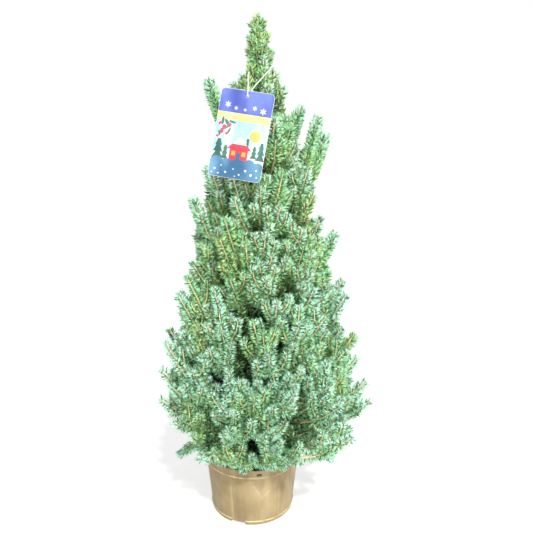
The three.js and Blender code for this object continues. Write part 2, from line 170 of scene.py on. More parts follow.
def smoothstep(x, low, high):
    t = np.clip((x - low) / (high - low), 0, 1)
    return t * t * (3 - 2 * t)


def unit(vectors):
    return vectors / np.maximum(np.linalg.norm(vectors, axis=-1, keepdims=True), TINY)


def seeded(seed):
    """The source's own generator, so that every shoot grows where its solid is."""
    state = seed * 7919

    def draw():
        nonlocal state
        state = state * 16807 % 2147483647
        return state / 2147483647

    return draw


def curve(points, shares):
    """Points on the smooth curve through some points, at shares of its way from point to point."""
    points = np.asarray(points, float)
    shares = np.atleast_1d(np.asarray(shares, float))
    ends = np.vstack([2 * points[0] - points[1], points, 2 * points[-1] - points[-2]])
    place = np.clip(shares, 0, 1) * (len(points) - 1)
    span = np.minimum(place.astype(int), len(points) - 2)
    u = (place - span)[:, None]
    a, b, c, d = (ends[span + k] for k in range(4))
    before, within, after = (
        np.sqrt(np.linalg.norm(q - p, axis=1, keepdims=True)) for p, q in ((a, b), (b, c), (c, d))
    )
    leave = ((b - a) / before - (c - a) / (before + within) + (c - b) / within) * within
    arrive = ((c - b) / within - (d - b) / (within + after) + (d - c) / after) * within
    square = -3 * b + 3 * c - 2 * leave - arrive
    cube = 2 * b - 2 * c + leave + arrive
    return b + leave * u + square * u**2 + cube * u**3


def headings_along(points, shares):
    """The curve's unit direction at shares of its way."""
    step = 0.002
    shares = np.asarray(shares, float)
    low = np.clip(shares - step, 0, 1)
    high = np.clip(shares + step, 0, 1)
    return unit(curve(points, high) - curve(points, low))


def length_of(points):
    """The length of the curve through some points."""
    line = curve(points, np.linspace(0, 1, 24))
    return float(np.linalg.norm(np.diff(line, axis=0), axis=1).sum())


def square_to(ahead):
    """Two directions square to each direction given, and to each other."""
    across = np.cross(ahead, UP)
    flat = np.linalg.norm(across, axis=-1, keepdims=True) < 0.02
    across = unit(np.where(flat, np.cross(ahead, [1.0, 0.0, 0.0]), across))
    return across, np.cross(across, ahead)


# ---- the crown's outline, its bowls and its cells ----
def axis_at(z):
    """The trunk's middle line at a height."""
    z = np.asarray(z, float)
    return np.stack([TRUNK_LEAN * smoothstep(z, SOIL_TOP, LEAN_ENDS), 0 * z, z], axis=-1)


def trunk_radius(z):
    t = (z - SOIL_TOP) / (TRUNK_TOP - SOIL_TOP)
    return lerp(TRUNK_RADIUS, TRUNK_TIP_RADIUS, t) + ROOT_FLARE * np.exp(-(z - SOIL_TOP) / FLARE_FADE)


def outline(z):
    """The crown's radius at a height."""
    above = np.maximum(0, (z - CROWN_WIDEST) / (TREE_TOP - CROWN_WIDEST))
    below = np.maximum(0, (CROWN_WIDEST - z) / CROWN_WIDEST)
    tucked = np.maximum(LEAST_TUCK, 1 - CROWN_TUCK * below * below)
    return CROWN_REACH * np.maximum(0, 1 - above) ** CROWN_TAPER * tucked


def bulge(heading, z):
    """What the crown's radius is multiplied by at a heading."""
    return 1 + BULGE * np.cos(heading) * (1 - smoothstep(z, *BULGE_FADE))


def around(heading, radius, z):
    """A point at a heading and a radius round the trunk."""
    at = axis_at(z)
    at[..., 0] += radius * np.cos(heading)
    at[..., 1] += radius * np.sin(heading)
    return at


class Bowl:
    """A tier's upper bound: flat at the trunk and rising outwards, as the boughs do."""

    def __init__(self, top, rise):
        self.edge = outline(top)
        self.foot = top - rise * self.edge / 2
        self.steepness = rise

    def height(self, r):
        return self.foot + self.steepness * r * r / (2 * self.edge)

    def slope(self, r):
        return self.steepness * r / self.edge


class Skirt:
    """The lowest bound: flat over the pot, and falling away outside its rim."""

    edge = POT_RIM_RADIUS + 2

    def height(self, r):
        return POT_HEIGHT + 1 - np.maximum(0, r - self.edge) * SKIRT_SLOPE

    def slope(self, r):
        return np.where(r > self.edge, -SKIRT_SLOPE, 0.0)


BOUNDS = [Skirt()] + [Bowl(tier["top"], tier["rise"]) for tier in TIERS]
OUTLINE_HALVINGS = 16  # of the span in which the outline is looked for


class Cell:
    """The space of one mass of foliage: a sector of a tier."""

    def __init__(self, index, number):
        self.tier = TIERS[index]
        self.under = BOUNDS[index]
        self.over = BOUNDS[index + 1]
        self.half = math.pi / self.tier["masses"]
        self.heading = math.radians(self.tier["turn"]) + 2 * self.half * number
        self.edge = float(outline(self.tier["top"]))
        self.foot = float(trunk_radius(self.level(0, 0.5)))
        self.on_bough = index < BOUGH_TIERS
        bough_end = self.foot + (BOUGH_SHARE * self.edge if self.on_bough else GAP)
        self.bough = self.middle_line(self.foot, bough_end)
        self.bough_line = curve(self.bough, np.linspace(0, 1, 9))

    def level(self, r, share):
        """The height at a radius, by a share of the way from the lower bowl to the upper one."""
        return lerp(self.under.height(r), self.over.height(r), share)

    def share_at(self, r, z):
        return (z - self.under.height(r)) / (self.over.height(r) - self.under.height(r))

    def rise(self, r, share):
        return lerp(self.under.slope(r), self.over.slope(r), share)

    def nearest(self, heading):
        """A heading, told so that it lies within half a turn of the cell's own."""
        off = heading - self.heading
        return self.heading + math.atan2(math.sin(off), math.cos(off))

    def outline_radius(self, heading, share):
        """The radius at which a share of the cell's height comes out at the crown's outline."""
        inside = 0.0
        outside = 1.5 * CROWN_REACH
        for _ in range(OUTLINE_HALVINGS):
            r = (inside + outside) / 2
            z = self.level(r, share)
            if r < outline(z) * bulge(heading, z):
                inside = r
            else:
                outside = r
        return inside

    def turned(self, heading, share, r, turn):
        """A point at a radius, turned by 0 to 1 from the cell's middle line to a heading and a share."""
        return around(lerp(self.heading, heading, turn), r, self.level(r, lerp(0.5, share, turn)))

    def middle_line(self, start, end):
        """Five points on the cell's middle line, which its bough and its stem follow."""
        radii = np.linspace(start, end, 5)
        return around(self.heading, radii, self.level(radii, 0.5))

    def depth(self, points):
        """How far points are inside the cell, measured to its nearest side."""
        away = points - axis_at(points[:, 2])
        r = np.hypot(away[:, 0], away[:, 1])
        off = np.arctan2(away[:, 1], away[:, 0]) - self.heading
        off = np.abs(np.arctan2(np.sin(off), np.cos(off)))
        side = r * np.sin(np.minimum(math.pi / 2, self.half - off))
        below = (points[:, 2] - self.under.height(r)) / np.hypot(1, self.under.slope(r))
        above = (self.over.height(r) - points[:, 2]) / np.hypot(1, self.over.slope(r))
        return np.where(off >= self.half, -1.0, np.minimum(np.minimum(side, below), above))


# ---- the hang tag's place and its string's way ----
TAG_FRAME = (
    Matrix.Translation(TAG_HOLE)
    @ Matrix.Rotation(math.radians(-TAG_YAW), 4, "Z")
    @ Matrix.Rotation(math.radians(90 - TAG_LEAN), 4, "X")
    @ Matrix.Rotation(math.radians(-TAG_ROLL), 4, "Z")
)
TAG_INVERSE = np.array(TAG_FRAME.inverted())


def on_tag(x, y, depth):
    return tuple(TAG_FRAME @ Vector((x, y, depth)))


STRING_POINTS = [
    (21, 12.5, 771),
    (4, 9, 772),
    (1, -10, 774),
    (-1, -36, 768),
    on_tag(-0.5, 13, 5),
    on_tag(0, 2.5, 2.6),
    on_tag(0, 0, 0),
    on_tag(0.3, 2.5, -2.6),
    on_tag(4, 13, -6),
    (26, -40, 770),
    (40, -15, 787),
    (37, 3, 783),
    (23, 12.5, 771.8),
]
STRING_LINE = curve(STRING_POINTS, np.linspace(0, 1, 121))


def in_tag_frame(points):
    return points @ TAG_INVERSE[:3, :3].T + TAG_INVERSE[:3, 3]


def room_at_tag(points):
    """How far points are from the card or, behind it, from its plane."""
    q = in_tag_frame(points)
    beside = np.abs(q[:, 0]) - TAG["width"] / 2
    above = q[:, 1] - TAG["hole_drop"]
    behind = -TAG["thickness"] / 2 - q[:, 2]
    return np.max([beside, above, -above - TAG["height"], behind], axis=0)


def room_at_line(points, line, radius):
    """How far points are from a bough or a string."""
    gaps = np.linalg.norm(points[:, None] - line[None], axis=2)
    return gaps.min(axis=1) - radius


# ---- shoots, where the solids have them ----
ROOM_SAMPLES = np.array([0.3, 0.45, 0.6, 0.75, 0.9, 1.0])
DRAWN_IN = [1, 0.94, 0.88, 0.82, 0.76]


def needles_at(t):
    """The needles' length along a shoot: they are shorter towards its tip."""
    return 1 - 0.2 * t


def room_along(cell, line):
    """How far a shoot's needles can reach in its cell."""
    p = curve(line, ROOM_SAMPLES)
    clear = np.minimum(cell.depth(p), room_at_line(p, cell.bough_line, BOUGH_RADIUS))
    clear = np.minimum(clear, room_at_tag(p))
    clear = np.minimum(clear, room_at_line(p, STRING_LINE, STRING_RADIUS)) - GAP
    return min(NEEDLE_REACH, *(clear / np.where(ROOM_SAMPLES < 1, needles_at(ROOM_SAMPLES - 0.1), 0.5)))


def shoot_to(cell, heading, share, radius, length):
    """A shoot that follows its bowl and bends up as it goes out: its points and its needles' reach."""
    heading = cell.nearest(heading)
    best = None
    for drawn in DRAWN_IN:
        outer = radius * drawn
        run = length * math.cos(math.atan(cell.rise(outer, share)))
        inner = max(outer - run, 0.25 * outer)
        heart = min(0.55 * cell.edge, inner)
        stations = [(heart, 0.4), (inner, 0.75), ((inner + outer) / 2, 0.9), (outer, 1)]
        line = [cell.turned(heading, share, r, turn) for r, turn in stations]
        reach = room_along(cell, line)
        if best is None or reach > best[1]:
            best = (np.array(line), reach)
        if reach > FAIR_REACH:
            break
    return best if best[1] > LEAST_REACH else None


def shoots_of(cell, draw):
    """The shoots of one mass: its strays, then rows of shoots over the cell's outer face.

    Each has its points, its needles' reach, and whether it is a stray.
    """
    rows = cell.tier["rows"]
    shoots = []
    for stray in STRAYS:
        heading = math.radians(stray["heading"])
        at = around(heading, stray["radius"], stray["height"])
        if cell.depth(at[None])[0] >= 0:
            share = cell.share_at(stray["radius"], stray["height"])
            shoot = shoot_to(cell, heading, share, stray["radius"], stray["length"])
            shoots.append((*shoot, True))
    for row, count in enumerate(rows):
        for n in range(count):
            share = (row + 0.5 + 0.3 * (draw() - 0.5)) / len(rows)
            across = (2 * n + 1) / count - 1 + 0.4 * (draw() - 0.5) / count
            heading = cell.heading + 0.9 * across * cell.half
            radius = cell.outline_radius(heading, share) * (0.94 + 0.12 * draw())
            length = min(SHOOT_LENGTH * (0.85 + 0.3 * draw()), radius)
            shoot = shoot_to(cell, heading, share, radius, length)
            if shoot:
                shoots.append((*shoot, False))
    return shoots


# ---- twigs and needles, gathered as they grow ----
TINTS = ["pale", "blue", "green", "lime", "gleam", "shaded"]
MOODS = {  # each spray's tints: its tip, its middle and its foot
    "frosted": ("pale", "blue", "blue"),
    "bluish": ("pale", "blue", "green"),
    "fresh": ("blue", "green", "green"),
    "sunny": ("lime", "lime", "green"),
    "inner": ("green", "shaded", "shaded"),
}


def kind_of_twig(age, radii, rings, bare=0.1, reach=NEEDLE_REACH):
    """A twig's age, its radii at foot and tip, its rings, its bare share and its needles' reach."""
    return {"age": age, "radii": radii, "rings": rings, "bare": bare, "reach": reach}


TWIGS = {
    "stem": kind_of_twig("old", (2.2, 1.5), 4),
    "shoot": kind_of_twig("young", (2.0, 0.9), 9, bare=0.15),
    "side shoot": kind_of_twig("young", (1.4, 0.8), 4, bare=0.06),
    "inner twig": kind_of_twig("old", (1.8, 0.8), 6, bare=0.3, reach=12),
    "fringe": kind_of_twig("young", (1.2, 0.6), 7, bare=0.25, reach=11.5),
    "fringe side": kind_of_twig("young", (0.8, 0.5), 4, reach=11),
    "leader": kind_of_twig("young", (TRUNK_TIP_RADIUS, 0.9), 9, bare=0.3),
    "leader side": kind_of_twig("young", (1.0, 0.6), 4, reach=10.5),
    "tuft": kind_of_twig("young", (0.8, 0.5), 4, reach=10),
}


class Growth:
    """The needles and twigs of half the crown: needles by tint, and twigs by age."""

    def __init__(self):
        self.needles = {tint: [] for tint in TINTS}
        self.twigs = {"young": [], "old": []}

    def add_twig(self, kind, line):
        twig = TWIGS[kind]
        shares = np.linspace(0, 1, twig["rings"])
        self.twigs[twig["age"]].append((curve(line, shares), lerp(*twig["radii"], shares)))

    def add_needles(self, mood, share, needles, rng):
        """Deals a spray's needles to its three tints by where they stand, and some to two more: the shaded
        tint, which is painted shade, and the gleam tint, which is partly a painted highlight.
        """
        bands = np.digitize(share, SPRAY_BANDS)
        lot = rng.uniform(0, 1, len(needles))
        # painted shade: some needles of every spray take the shaded tint
        bands[lot > 1 - SHADE_SHARE] = 3
        if mood != "inner":
            # partly a painted highlight: some needles take the pale gleam tint
            bands[lot < GLEAM_SHARE] = 4
        for band, tint in enumerate((*reversed(MOODS[mood]), "shaded", "gleam")):
            self.needles[tint].append(needles[bands == band])


def stand_needles(root, ahead, turn, splay, size, curl):
    """Needles as their roots, middles and tips, (count, 3, 3): each leans out and bends forward."""
    across, over = square_to(ahead)
    out = across * np.cos(turn)[:, None] + over * np.sin(turn)[:, None]
    half = 0.5 * size[:, None]
    foot = (splay + curl)[:, None]
    head = (splay - curl)[:, None]
    middle = root + half * (out * np.sin(foot) + ahead * np.cos(foot))
    tip = middle + half * (out * np.sin(head) + ahead * np.cos(head))
    return np.stack([root, middle, tip], axis=1)


def needles_on(line, start, reach, per_mm, rng):
    """Needles all round a twig, from a share of its way on: how far along each one is, and the needles."""
    length = length_of(line) * (1 - start)
    count = max(FEWEST_NEEDLES, int(per_mm * length))
    way = ((np.arange(count) + rng.uniform(0.1, 0.9, count)) / count) ** CROWDING
    share = lerp(start, 1.0, way)
    close = np.clip(1 - (1 - way) * length / TIP_STRETCH, 0, 1)  # from 0 to 1 over the last stretch
    turn = GOLDEN_TURN * np.arange(count) + rng.normal(0, 0.2, count)
    splay = np.radians(lerp(*NEEDLE_SPLAY, close) + rng.normal(0, 8, count))
    size = rng.uniform(*NEEDLE_LENGTH, count) * reach / NEEDLE_REACH * lerp(1, TIP_SIZE, close)
    curl = np.radians(rng.uniform(*NEEDLE_CURL, count))
    return way, stand_needles(curve(line, share), headings_along(line, share), turn, splay, size, curl)


def rosette_on(line, reach, rng):
    """The needles that stand together round a shoot's bud."""
    share = rng.uniform(0.96, 1.0, ROSETTE)
    turn = GOLDEN_TURN * np.arange(ROSETTE) + rng.normal(0, 0.3, ROSETTE)
    splay = np.radians(rng.uniform(*ROSETTE_SPLAY, ROSETTE))
    size = rng.uniform(*ROSETTE_LENGTH, ROSETTE) * reach / NEEDLE_REACH
    curl = np.radians(rng.uniform(-4, 12, ROSETTE))
    return share, stand_needles(curve(line, share), headings_along(line, share), turn, splay, size, curl)


CARD_MARGIN = 1  # that needles keep round the card
CARD_BACK = -1.5  # and behind it, from its middle
RIM_MARGIN = (0.6, 0.4)  # outside the pot's rim, and over it
MOUTH_RADIUS = POT_RIM_RADIUS - 5  # inside which needles may hang down into the pot


def clear_of_made_things(needles):
    """Which needles touch neither the card nor the pot."""
    tips = needles[:, 2]
    q = in_tag_frame(tips)
    top = TAG["hole_drop"] + CARD_MARGIN
    foot = TAG["hole_drop"] - TAG["height"] - CARD_MARGIN
    on_card = (np.abs(q[:, 0]) < TAG["width"] / 2 + CARD_MARGIN) & (q[:, 1] < top)
    on_card &= (q[:, 1] > foot) & (q[:, 2] > CARD_BACK)
    keep = ~on_card
    for p in (needles[:, 1], tips):
        r = np.hypot(p[:, 0], p[:, 1])
        in_wall = (r < POT_RIM_RADIUS + RIM_MARGIN[0]) & (p[:, 2] < POT_HEIGHT + RIM_MARGIN[1])
        over_soil = (r < MOUTH_RADIUS) & (p[:, 2] > SOIL_TOP + 1)
        keep &= ~in_wall | over_soil
    return keep


def dress(growth, line, start, reach, mood, rng, per_mm=NEEDLES_PER_MM, bud=True):
    """Sets a spray of needles on a twig."""
    sets = [needles_on(line, start, reach, per_mm, rng)]
    if bud:
        sets.append(rosette_on(line, reach, rng))
    for way, needles in sets:
        keep = clear_of_made_things(needles)
        growth.add_needles(mood, way[keep], needles[keep], rng)


def grow_twig(growth, kind, line, mood, rng, reach=None, **spray):
    """A twig and the spray of needles on it."""
    growth.add_twig(kind, line)
    dress(growth, line, TWIGS[kind]["bare"], reach or TWIGS[kind]["reach"], mood, rng, **spray)


SIDE_TIP_ROOM = 9  # that a side shoot's tip keeps from the crown's outline
SIDE_CARD_ROOM = 6  # and from the card


def has_side_room(tip):
    """Whether a side shoot's tip lies well inside the crown's outline, and clear of the card."""
    away = tip - axis_at(tip[:, 2])
    r = np.hypot(away[:, 0], away[:, 1])
    heading = np.arctan2(away[:, 1], away[:, 0])
    inside = r < outline(tip[:, 2]) * bulge(heading, tip[:, 2]) - SIDE_TIP_ROOM
    return inside[0] and room_at_tag(tip)[0] > SIDE_CARD_ROOM


def side_shoot(line, share, turn, length, lift):
    """A side shoot: it leaves its shoot at a wide angle and turns upwards, or None without room."""
    root = curve(line, share)
    ahead = headings_along(line, [share])
    across, over = square_to(ahead)
    out = across * math.cos(turn) + over * math.sin(turn)
    leave = unit(0.5 * ahead + 0.8 * out + 0.4 * lift * UP)
    arrive = unit(0.5 * ahead + 0.35 * out + lift * UP)
    for trial in SIDE_SHOOT_TRIALS:
        half = 0.5 * (trial * length)
        middle = root + half * leave
        tip = middle + half * arrive
        if has_side_room(tip):
            return np.vstack([root, middle, tip])
    return None


def branch_out(growth, line, reach, mood, rng):
    """A shoot with its side shoots, each with its needles."""
    grow_twig(growth, "shoot", line, mood, rng, reach)
    first = rng.uniform(0, 2 * math.pi)
    for n in range(SIDE_SHOOTS):
        share = lerp(0.3, 0.9, (n + rng.uniform(0.2, 0.8)) / SIDE_SHOOTS)
        size = lerp(*SIDE_SHOOT_LENGTH, n / SIDE_SHOOTS) * rng.uniform(0.8, 1.15)
        twig = side_shoot(line, share, first + GOLDEN_TURN * n, size, rng.uniform(0.45, 1.05))
        if twig is not None:
            grow_twig(growth, "side shoot", twig, mood, rng, 0.95 * reach)


FROST_FADE = (150, 720)  # the lower crown is frosted, and the upper crown is greener


def mood_of(height, rng):
    """A mood dealt to a shoot by the height of its tip."""
    frost = 1 - smoothstep(height, *FROST_FADE)
    weights = [0.1 + 0.5 * frost, 0.4, 0.25 + 0.2 * (1 - frost), 0.22 * (1 - frost)]
    names = ["frosted", "bluish", "fresh", "sunny"]
    return names[rng.choice(len(names), p=np.array(weights) / sum(weights))]


INNER_LEVELS = 5  # the inner twigs are dealt to so many levels of their cell in turn


def inner_line(cell, n, ends, rng):
    """An inner twig's three points: every other one comes straight from the trunk."""
    share = lerp(0.05, 0.95, (n % INNER_LEVELS + rng.uniform(0, 1)) / INNER_LEVELS)
    heading = cell.heading + cell.half * rng.uniform(-1.15, 1.15)
    radius = cell.outline_radius(heading, share) * rng.uniform(*ends)
    start = cell.edge * rng.uniform(0.12, 0.3)
    turns = (0.1, 0.6, 1.0)
    if n % 2:
        start = cell.foot
        turns = (1.0, 1.0, 1.0)
    radii = (start, lerp(start, radius, 0.5), radius)
    return np.array([cell.turned(heading, share, r, turn) for r, turn in zip(radii, turns)])


def fill_heart(growth, cell, count, ends, rng):
    """Older twigs inside a mass, between its stem and its outer shoots; their needles are mostly in the
    shaded tint, a painted shade.
    """
    for n in range(count):
        line = inner_line(cell, n, ends, rng)
        if room_at_tag(line[-1:])[0] >= TWIGS["inner twig"]["reach"]:
            grow_twig(growth, "inner twig", line, "inner", rng, per_mm=INNER_NEEDLES_PER_MM, bud=False)


SHORTEST_REACH = 11  # of the needles on a shoot, however little room the solid's shoot has


def grow_mass(growth, index, number):
    """All that grows in one cell: its stems, its shoots and the twigs in its heart."""
    cell = Cell(index, number)
    seed = 10 * (index + 1) + number
    draw = seeded(seed)
    for _ in range(CORE_DRAWS):
        draw()
    rng = np.random.default_rng(seed)
    stem_point = cell.middle_line(0, 0.6 * cell.edge)[2]
    for line, reach, stray in shoots_of(cell, draw):
        growth.add_twig("stem", [stem_point, lerp(stem_point, line[0], 0.6), line[0]])
        mood = "bluish" if stray else mood_of(line[-1][2], rng)
        branch_out(growth, line, max(reach, SHORTEST_REACH), mood, rng)
        if stray:
            dress(growth, line, 0.35, NEEDLE_REACH, mood, rng, per_mm=STRAY_NEEDLES_PER_MM)
    count = INNER_TWIGS if index else SKIRT_INNER_TWIGS
    fill_heart(growth, cell, count, INNER_TWIG_ENDS if index > 1 else LOW_INNER_TWIG_ENDS, rng)


def outward(heading):
    return np.array([math.cos(heading), math.sin(heading), 0])


def fringe_line(heading, rng):
    """A shoot's way from over the compost to just outside the pot's rim, where its tip hangs down."""
    tip = POT_RIM_RADIUS + rng.uniform(4, 26)
    height = POT_HEIGHT + 12 + rng.uniform(4, 14)
    stations = [
        (0.35 * POT_RIM_RADIUS, SOIL_TOP + 26),
        (0.8 * POT_RIM_RADIUS, height),
        (POT_RIM_RADIUS + 2, height),
        (tip, height - 0.4 * (tip - POT_RIM_RADIUS)),
    ]
    return np.array([r * outward(heading) + z * UP for r, z in stations])


def grow_fringe(growth):
    """Shoots that hang outwards over the pot's rim, all round it, each with two side shoots."""
    rng = np.random.default_rng(FRINGE_SEED)
    for n in range(FRINGE_SHOOTS):
        heading = 2 * math.pi * (n + rng.uniform(-0.3, 0.3)) / FRINGE_SHOOTS
        line = fringe_line(heading, rng)
        mood = "frosted" if n % 3 else "bluish"
        grow_twig(growth, "fringe", line, mood, rng)
        for side in (-1, 1):
            spread = heading + side * rng.uniform(0.16, 0.3)
            radius = POT_RIM_RADIUS + rng.uniform(-2, 12)
            tip = radius * outward(spread) + (POT_HEIGHT + rng.uniform(8, 20)) * UP
            twig = np.array([line[1], lerp(line[1], tip, 0.5) + 2 * UP, tip])
            grow_twig(growth, "fringe side", twig, mood, rng)


def leader_sides(foot, top):
    """The leader's side shoots, where its solid has them."""
    draw = seeded(LEADER_SEED)
    for n in range(LEADER_SHOOTS):
        out = outward(math.radians(LEADER_TURN * n) + 0.4 * draw())
        root = lerp(foot, top, 0.04 + 0.56 * n / LEADER_SHOOTS)
        length = LEADER_SIDE * (1 - 0.4 * n / LEADER_SHOOTS)
        tip = root + 0.5 * length * out + 0.87 * length * UP
        yield np.array([root, lerp(root, tip, 0.5) + 2 * out, tip])


def leader_tufts(foot, top):
    """Short shoots all the way up the leader."""
    for n in range(LEADER_TUFTS):
        share = lerp(0.02, 0.84, n / LEADER_TUFTS)
        out = outward(math.radians(LEADER_TURN * n + 60))
        root = lerp(foot, top, share)
        tip = root + lerp(24, 13, share) * unit(out + 1.3 * UP)
        yield np.array([root, lerp(root, tip, 0.5) + 1.5 * out, tip])


def grow_leader(growth):
    """The trunk's own last shoot, with small side shoots pressed close to it."""
    rng = np.random.default_rng(LEADER_SEED)
    foot = axis_at(TRUNK_TOP)
    top = np.array([foot[0] - 2, foot[1], TREE_TOP - 6])
    stem = np.array([foot, lerp(foot, top, 0.5), top])
    grow_twig(growth, "leader", stem, "sunny", rng)
    dress(growth, stem, 0.05, TWIGS["tuft"]["reach"], "fresh", rng, per_mm=0.4, bud=False)
    for n, line in enumerate(leader_sides(foot, top)):
        grow_twig(growth, "leader side", line, "sunny" if n % 2 else "fresh", rng)
    for n, line in enumerate(leader_tufts(foot, top)):
        grow_twig(growth, "tuft", line, "sunny" if n % 3 else "fresh", rng)


# ---- joined meshes ----
def mesh_piece(name, vertices, triangles, material):
    """A mesh object at the origin, from arrays in millimetres."""
    mesh = bpy.data.meshes.new(name)
    mesh.vertices.add(len(vertices))
    mesh.vertices.foreach_set("co", (vertices * MM).astype(np.float32).ravel())
    mesh.loops.add(triangles.size)
    mesh.loops.foreach_set("vertex_index", triangles.astype(np.int32).ravel())
    mesh.polygons.add(len(triangles))
    mesh.polygons.foreach_set("loop_start", np.arange(0, triangles.size, 3, dtype=np.int32))
    mesh.update(calc_edges=True)
    mesh.validate()
    return object_of(mesh, material)


NEEDLE_FACES = np.array([[0, 2, 1], [3, 1, 2], [0, 1, 3], [0, 3, 2]])
NEEDLE_TWIST = 1.1  # radians that a needle may be turned about its own length
NEEDLE_KEEL = 1.2  # the height of its keel for each part of its half width


def needle_mesh(needles, half_widths, rng):
    """Slim keeled needles: a ridge across the middle, a keel from root to tip, and pointed ends."""
    root, middle, tip = needles[:, 0], needles[:, 1], needles[:, 2]
    ahead = unit(tip - root)
    back = unit(middle - 0.5 * (root + tip) + 0.05 * square_to(ahead)[1])
    twist = rng.uniform(-NEEDLE_TWIST, NEEDLE_TWIST, len(needles))[:, None]
    half = rng.uniform(*half_widths, len(needles))[:, None]
    rise = back * np.cos(twist) + np.cross(ahead, back) * np.sin(twist)
    ridge = half * np.cross(rise, ahead)
    crest = middle + NEEDLE_KEEL * half * rise
    vertices = np.stack([root, crest + ridge, crest - ridge, tip], axis=1).reshape(-1, 3)
    triangles = NEEDLE_FACES[None] + 4 * np.arange(len(needles))[:, None, None]
    return vertices, triangles.reshape(-1, 3)


TWIG_SIDES = 4


def twig_vertices(line, radii):
    """The corners of a twig's rings, then the points past its tip and its foot."""
    ahead = unit(np.gradient(line, axis=0))
    across, over = square_to(ahead)
    turns = 2 * math.pi * np.arange(TWIG_SIDES) / TWIG_SIDES
    rings = (
        line[:, None]
        + radii[:, None, None] * across[:, None] * np.cos(turns)[None, :, None]
        + radii[:, None, None] * over[:, None] * np.sin(turns)[None, :, None]
    )
    tip = line[-1] + ahead[-1] * radii[-1]
    foot = line[0] - ahead[0] * radii[0]
    return [rings.reshape(-1, 3), tip[None], foot[None]]


def twig_triangles(count):
    """The triangles of a twig with so many rings: its sides, and the points that close its ends."""
    triangles = []
    tip = count * TWIG_SIDES
    last = tip - TWIG_SIDES
    starts = TWIG_SIDES * np.arange(count - 1)
    for k in range(TWIG_SIDES):
        m = (k + 1) % TWIG_SIDES
        low, low_next = starts + k, starts + m
        high, high_next = low + TWIG_SIDES, low_next + TWIG_SIDES
        triangles.append(np.stack([low, low_next, high_next], axis=1))
        triangles.append(np.stack([low, high_next, high], axis=1))
        triangles.append(np.array([[last + k, last + m, tip], [m, k, tip + 1]]))
    return np.vstack(triangles)


def twig_mesh(twigs):
    """Four-sided tubes, closed by a point at each end."""
    vertices = []
    triangles = []
    base = 0
    for line, radii in twigs:
        vertices += twig_vertices(line, radii)
        triangles.append(base + twig_triangles(len(line)))
        base += TWIG_SIDES * len(line) + 2
    return np.vstack(vertices), np.vstack(triangles)


# ---- finishes ----
def colour(code):
    """A colour such as 0x5f9462 in the linear values that shaders use."""
    channels = [(code >> shift & 255) / 255 for shift in (16, 8, 0)]
    linear = [c / 12.92 if c <= 0.04045 else ((c + 0.055) / 1.055) ** 2.4 for c in channels]
    return (*linear, 1.0)


class Finish:
    """A material with its Principled shader, and short ways to the nodes that it needs."""

    def __init__(self, name, base, roughness, metallic=0.0):
        self.material = bpy.data.materials.new(name)
        self.material.use_nodes = True
        self.tree = self.material.node_tree
        self.shader = self.tree.nodes["Principled BSDF"]
        self.set("Base Color", colour(base))
        self.set("Roughness", roughness)
        self.set("Metallic", metallic)
        self.place = self.tree.nodes.new("ShaderNodeTexCoord").outputs["Object"]

    def set(self, socket, value):
        self.shader.inputs[socket].default_value = value

    def link(self, source, socket):
        self.tree.links.new(source, self.shader.inputs[socket])

    def paint(self, factor, *stops):
        """Sets the base colour to a ramp of colours along a factor."""
        self.link(self.ramp(factor, stops), "Base Color")

    def node(self, kind, **inputs):
        """A new node whose inputs are numbers, colours or other nodes' outputs."""
        node = self.tree.nodes.new(kind)
        for name, value in inputs.items():
            socket = node.inputs[name.replace("_", " ")]
            if isinstance(value, bpy.types.NodeSocket):
                self.tree.links.new(value, socket)
            else:
                socket.default_value = value
        return node

    def scaled(self, value, by):
        node = self.tree.nodes.new("ShaderNodeMath")
        node.operation = "MULTIPLY"
        self.tree.links.new(value, node.inputs[0])
        node.inputs[1].default_value = by
        return node.outputs[0]

    def added(self, one, other):
        node = self.tree.nodes.new("ShaderNodeMath")
        self.tree.links.new(one, node.inputs[0])
        self.tree.links.new(other, node.inputs[1])
        return node.outputs[0]

    def noise(self, scale, detail=3.0, stretch=(1, 1, 1)):
        """Noise on the object's own coordinates, which a stretch under 1 draws out along an axis."""
        spot = self.node("ShaderNodeMapping", Vector=self.place, Scale=stretch).outputs["Vector"]
        return self.node("ShaderNodeTexNoise", Vector=spot, Scale=scale, Detail=detail).outputs["Fac"]

    def ramp(self, factor, stops):
        """Colours, or greys from 0 to 1, at places along a factor."""
        node = self.node("ShaderNodeValToRGB", Fac=factor)
        ramp = node.color_ramp
        while len(ramp.elements) < len(stops):
            ramp.elements.new(0.5)
        for element, (place, value) in zip(ramp.elements, stops):
            element.position = place
            element.color = colour(value) if isinstance(value, int) else (value, value, value, 1)
        return node.outputs["Color"]

    def bump(self, height, distance):
        node = self.node("ShaderNodeBump", Height=height, Distance=distance)
        self.link(node.outputs["Normal"], "Normal")


def needle_finish(name, low, high):
    """Waxy needles, a little lighter here and darker there."""
    finish = Finish(name, high, 0.48)
    finish.set("Specular IOR Level", 0.4)
    finish.paint(finish.noise(55, 2.0), (0.35, low), (0.65, high))
    return finish.material


def twig_finish(name, low, high):
    """Thin bark, patchy and finely rough."""
    finish = Finish(name, high, 0.65)
    finish.paint(finish.noise(160, 3.0), (0.35, low), (0.65, high))
    finish.bump(finish.noise(900, 2.0), 0.0004)
    return finish.material


# ---- shaped pieces ----
def new_piece(bm, name, *materials, facing=None):
    """A finished shape as an object at the origin, in metres: its faces point outwards, or one way."""
    bmesh.ops.recalc_face_normals(bm, faces=bm.faces)
    if facing:
        wrong = [face for face in bm.faces if face.normal.dot(facing) < 0]
        bmesh.ops.reverse_faces(bm, faces=wrong)
    bmesh.ops.scale(bm, vec=(MM, MM, MM), verts=bm.verts)
    mesh = bpy.data.meshes.new(name)
    bm.to_mesh(mesh)
    bm.free()
    return object_of(mesh, *materials)


def object_of(mesh, *materials):
    """An object at the origin for a mesh."""
    for material in materials:
        mesh.materials.append(material)
    piece = bpy.data.objects.new(mesh.name, mesh)
    bpy.context.scene.collection.objects.link(piece)
    return piece


def settle(piece, nodes):
    """A finished piece rides with the plant, and stands for its nodes."""
    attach(piece, "root")
    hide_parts(*nodes)


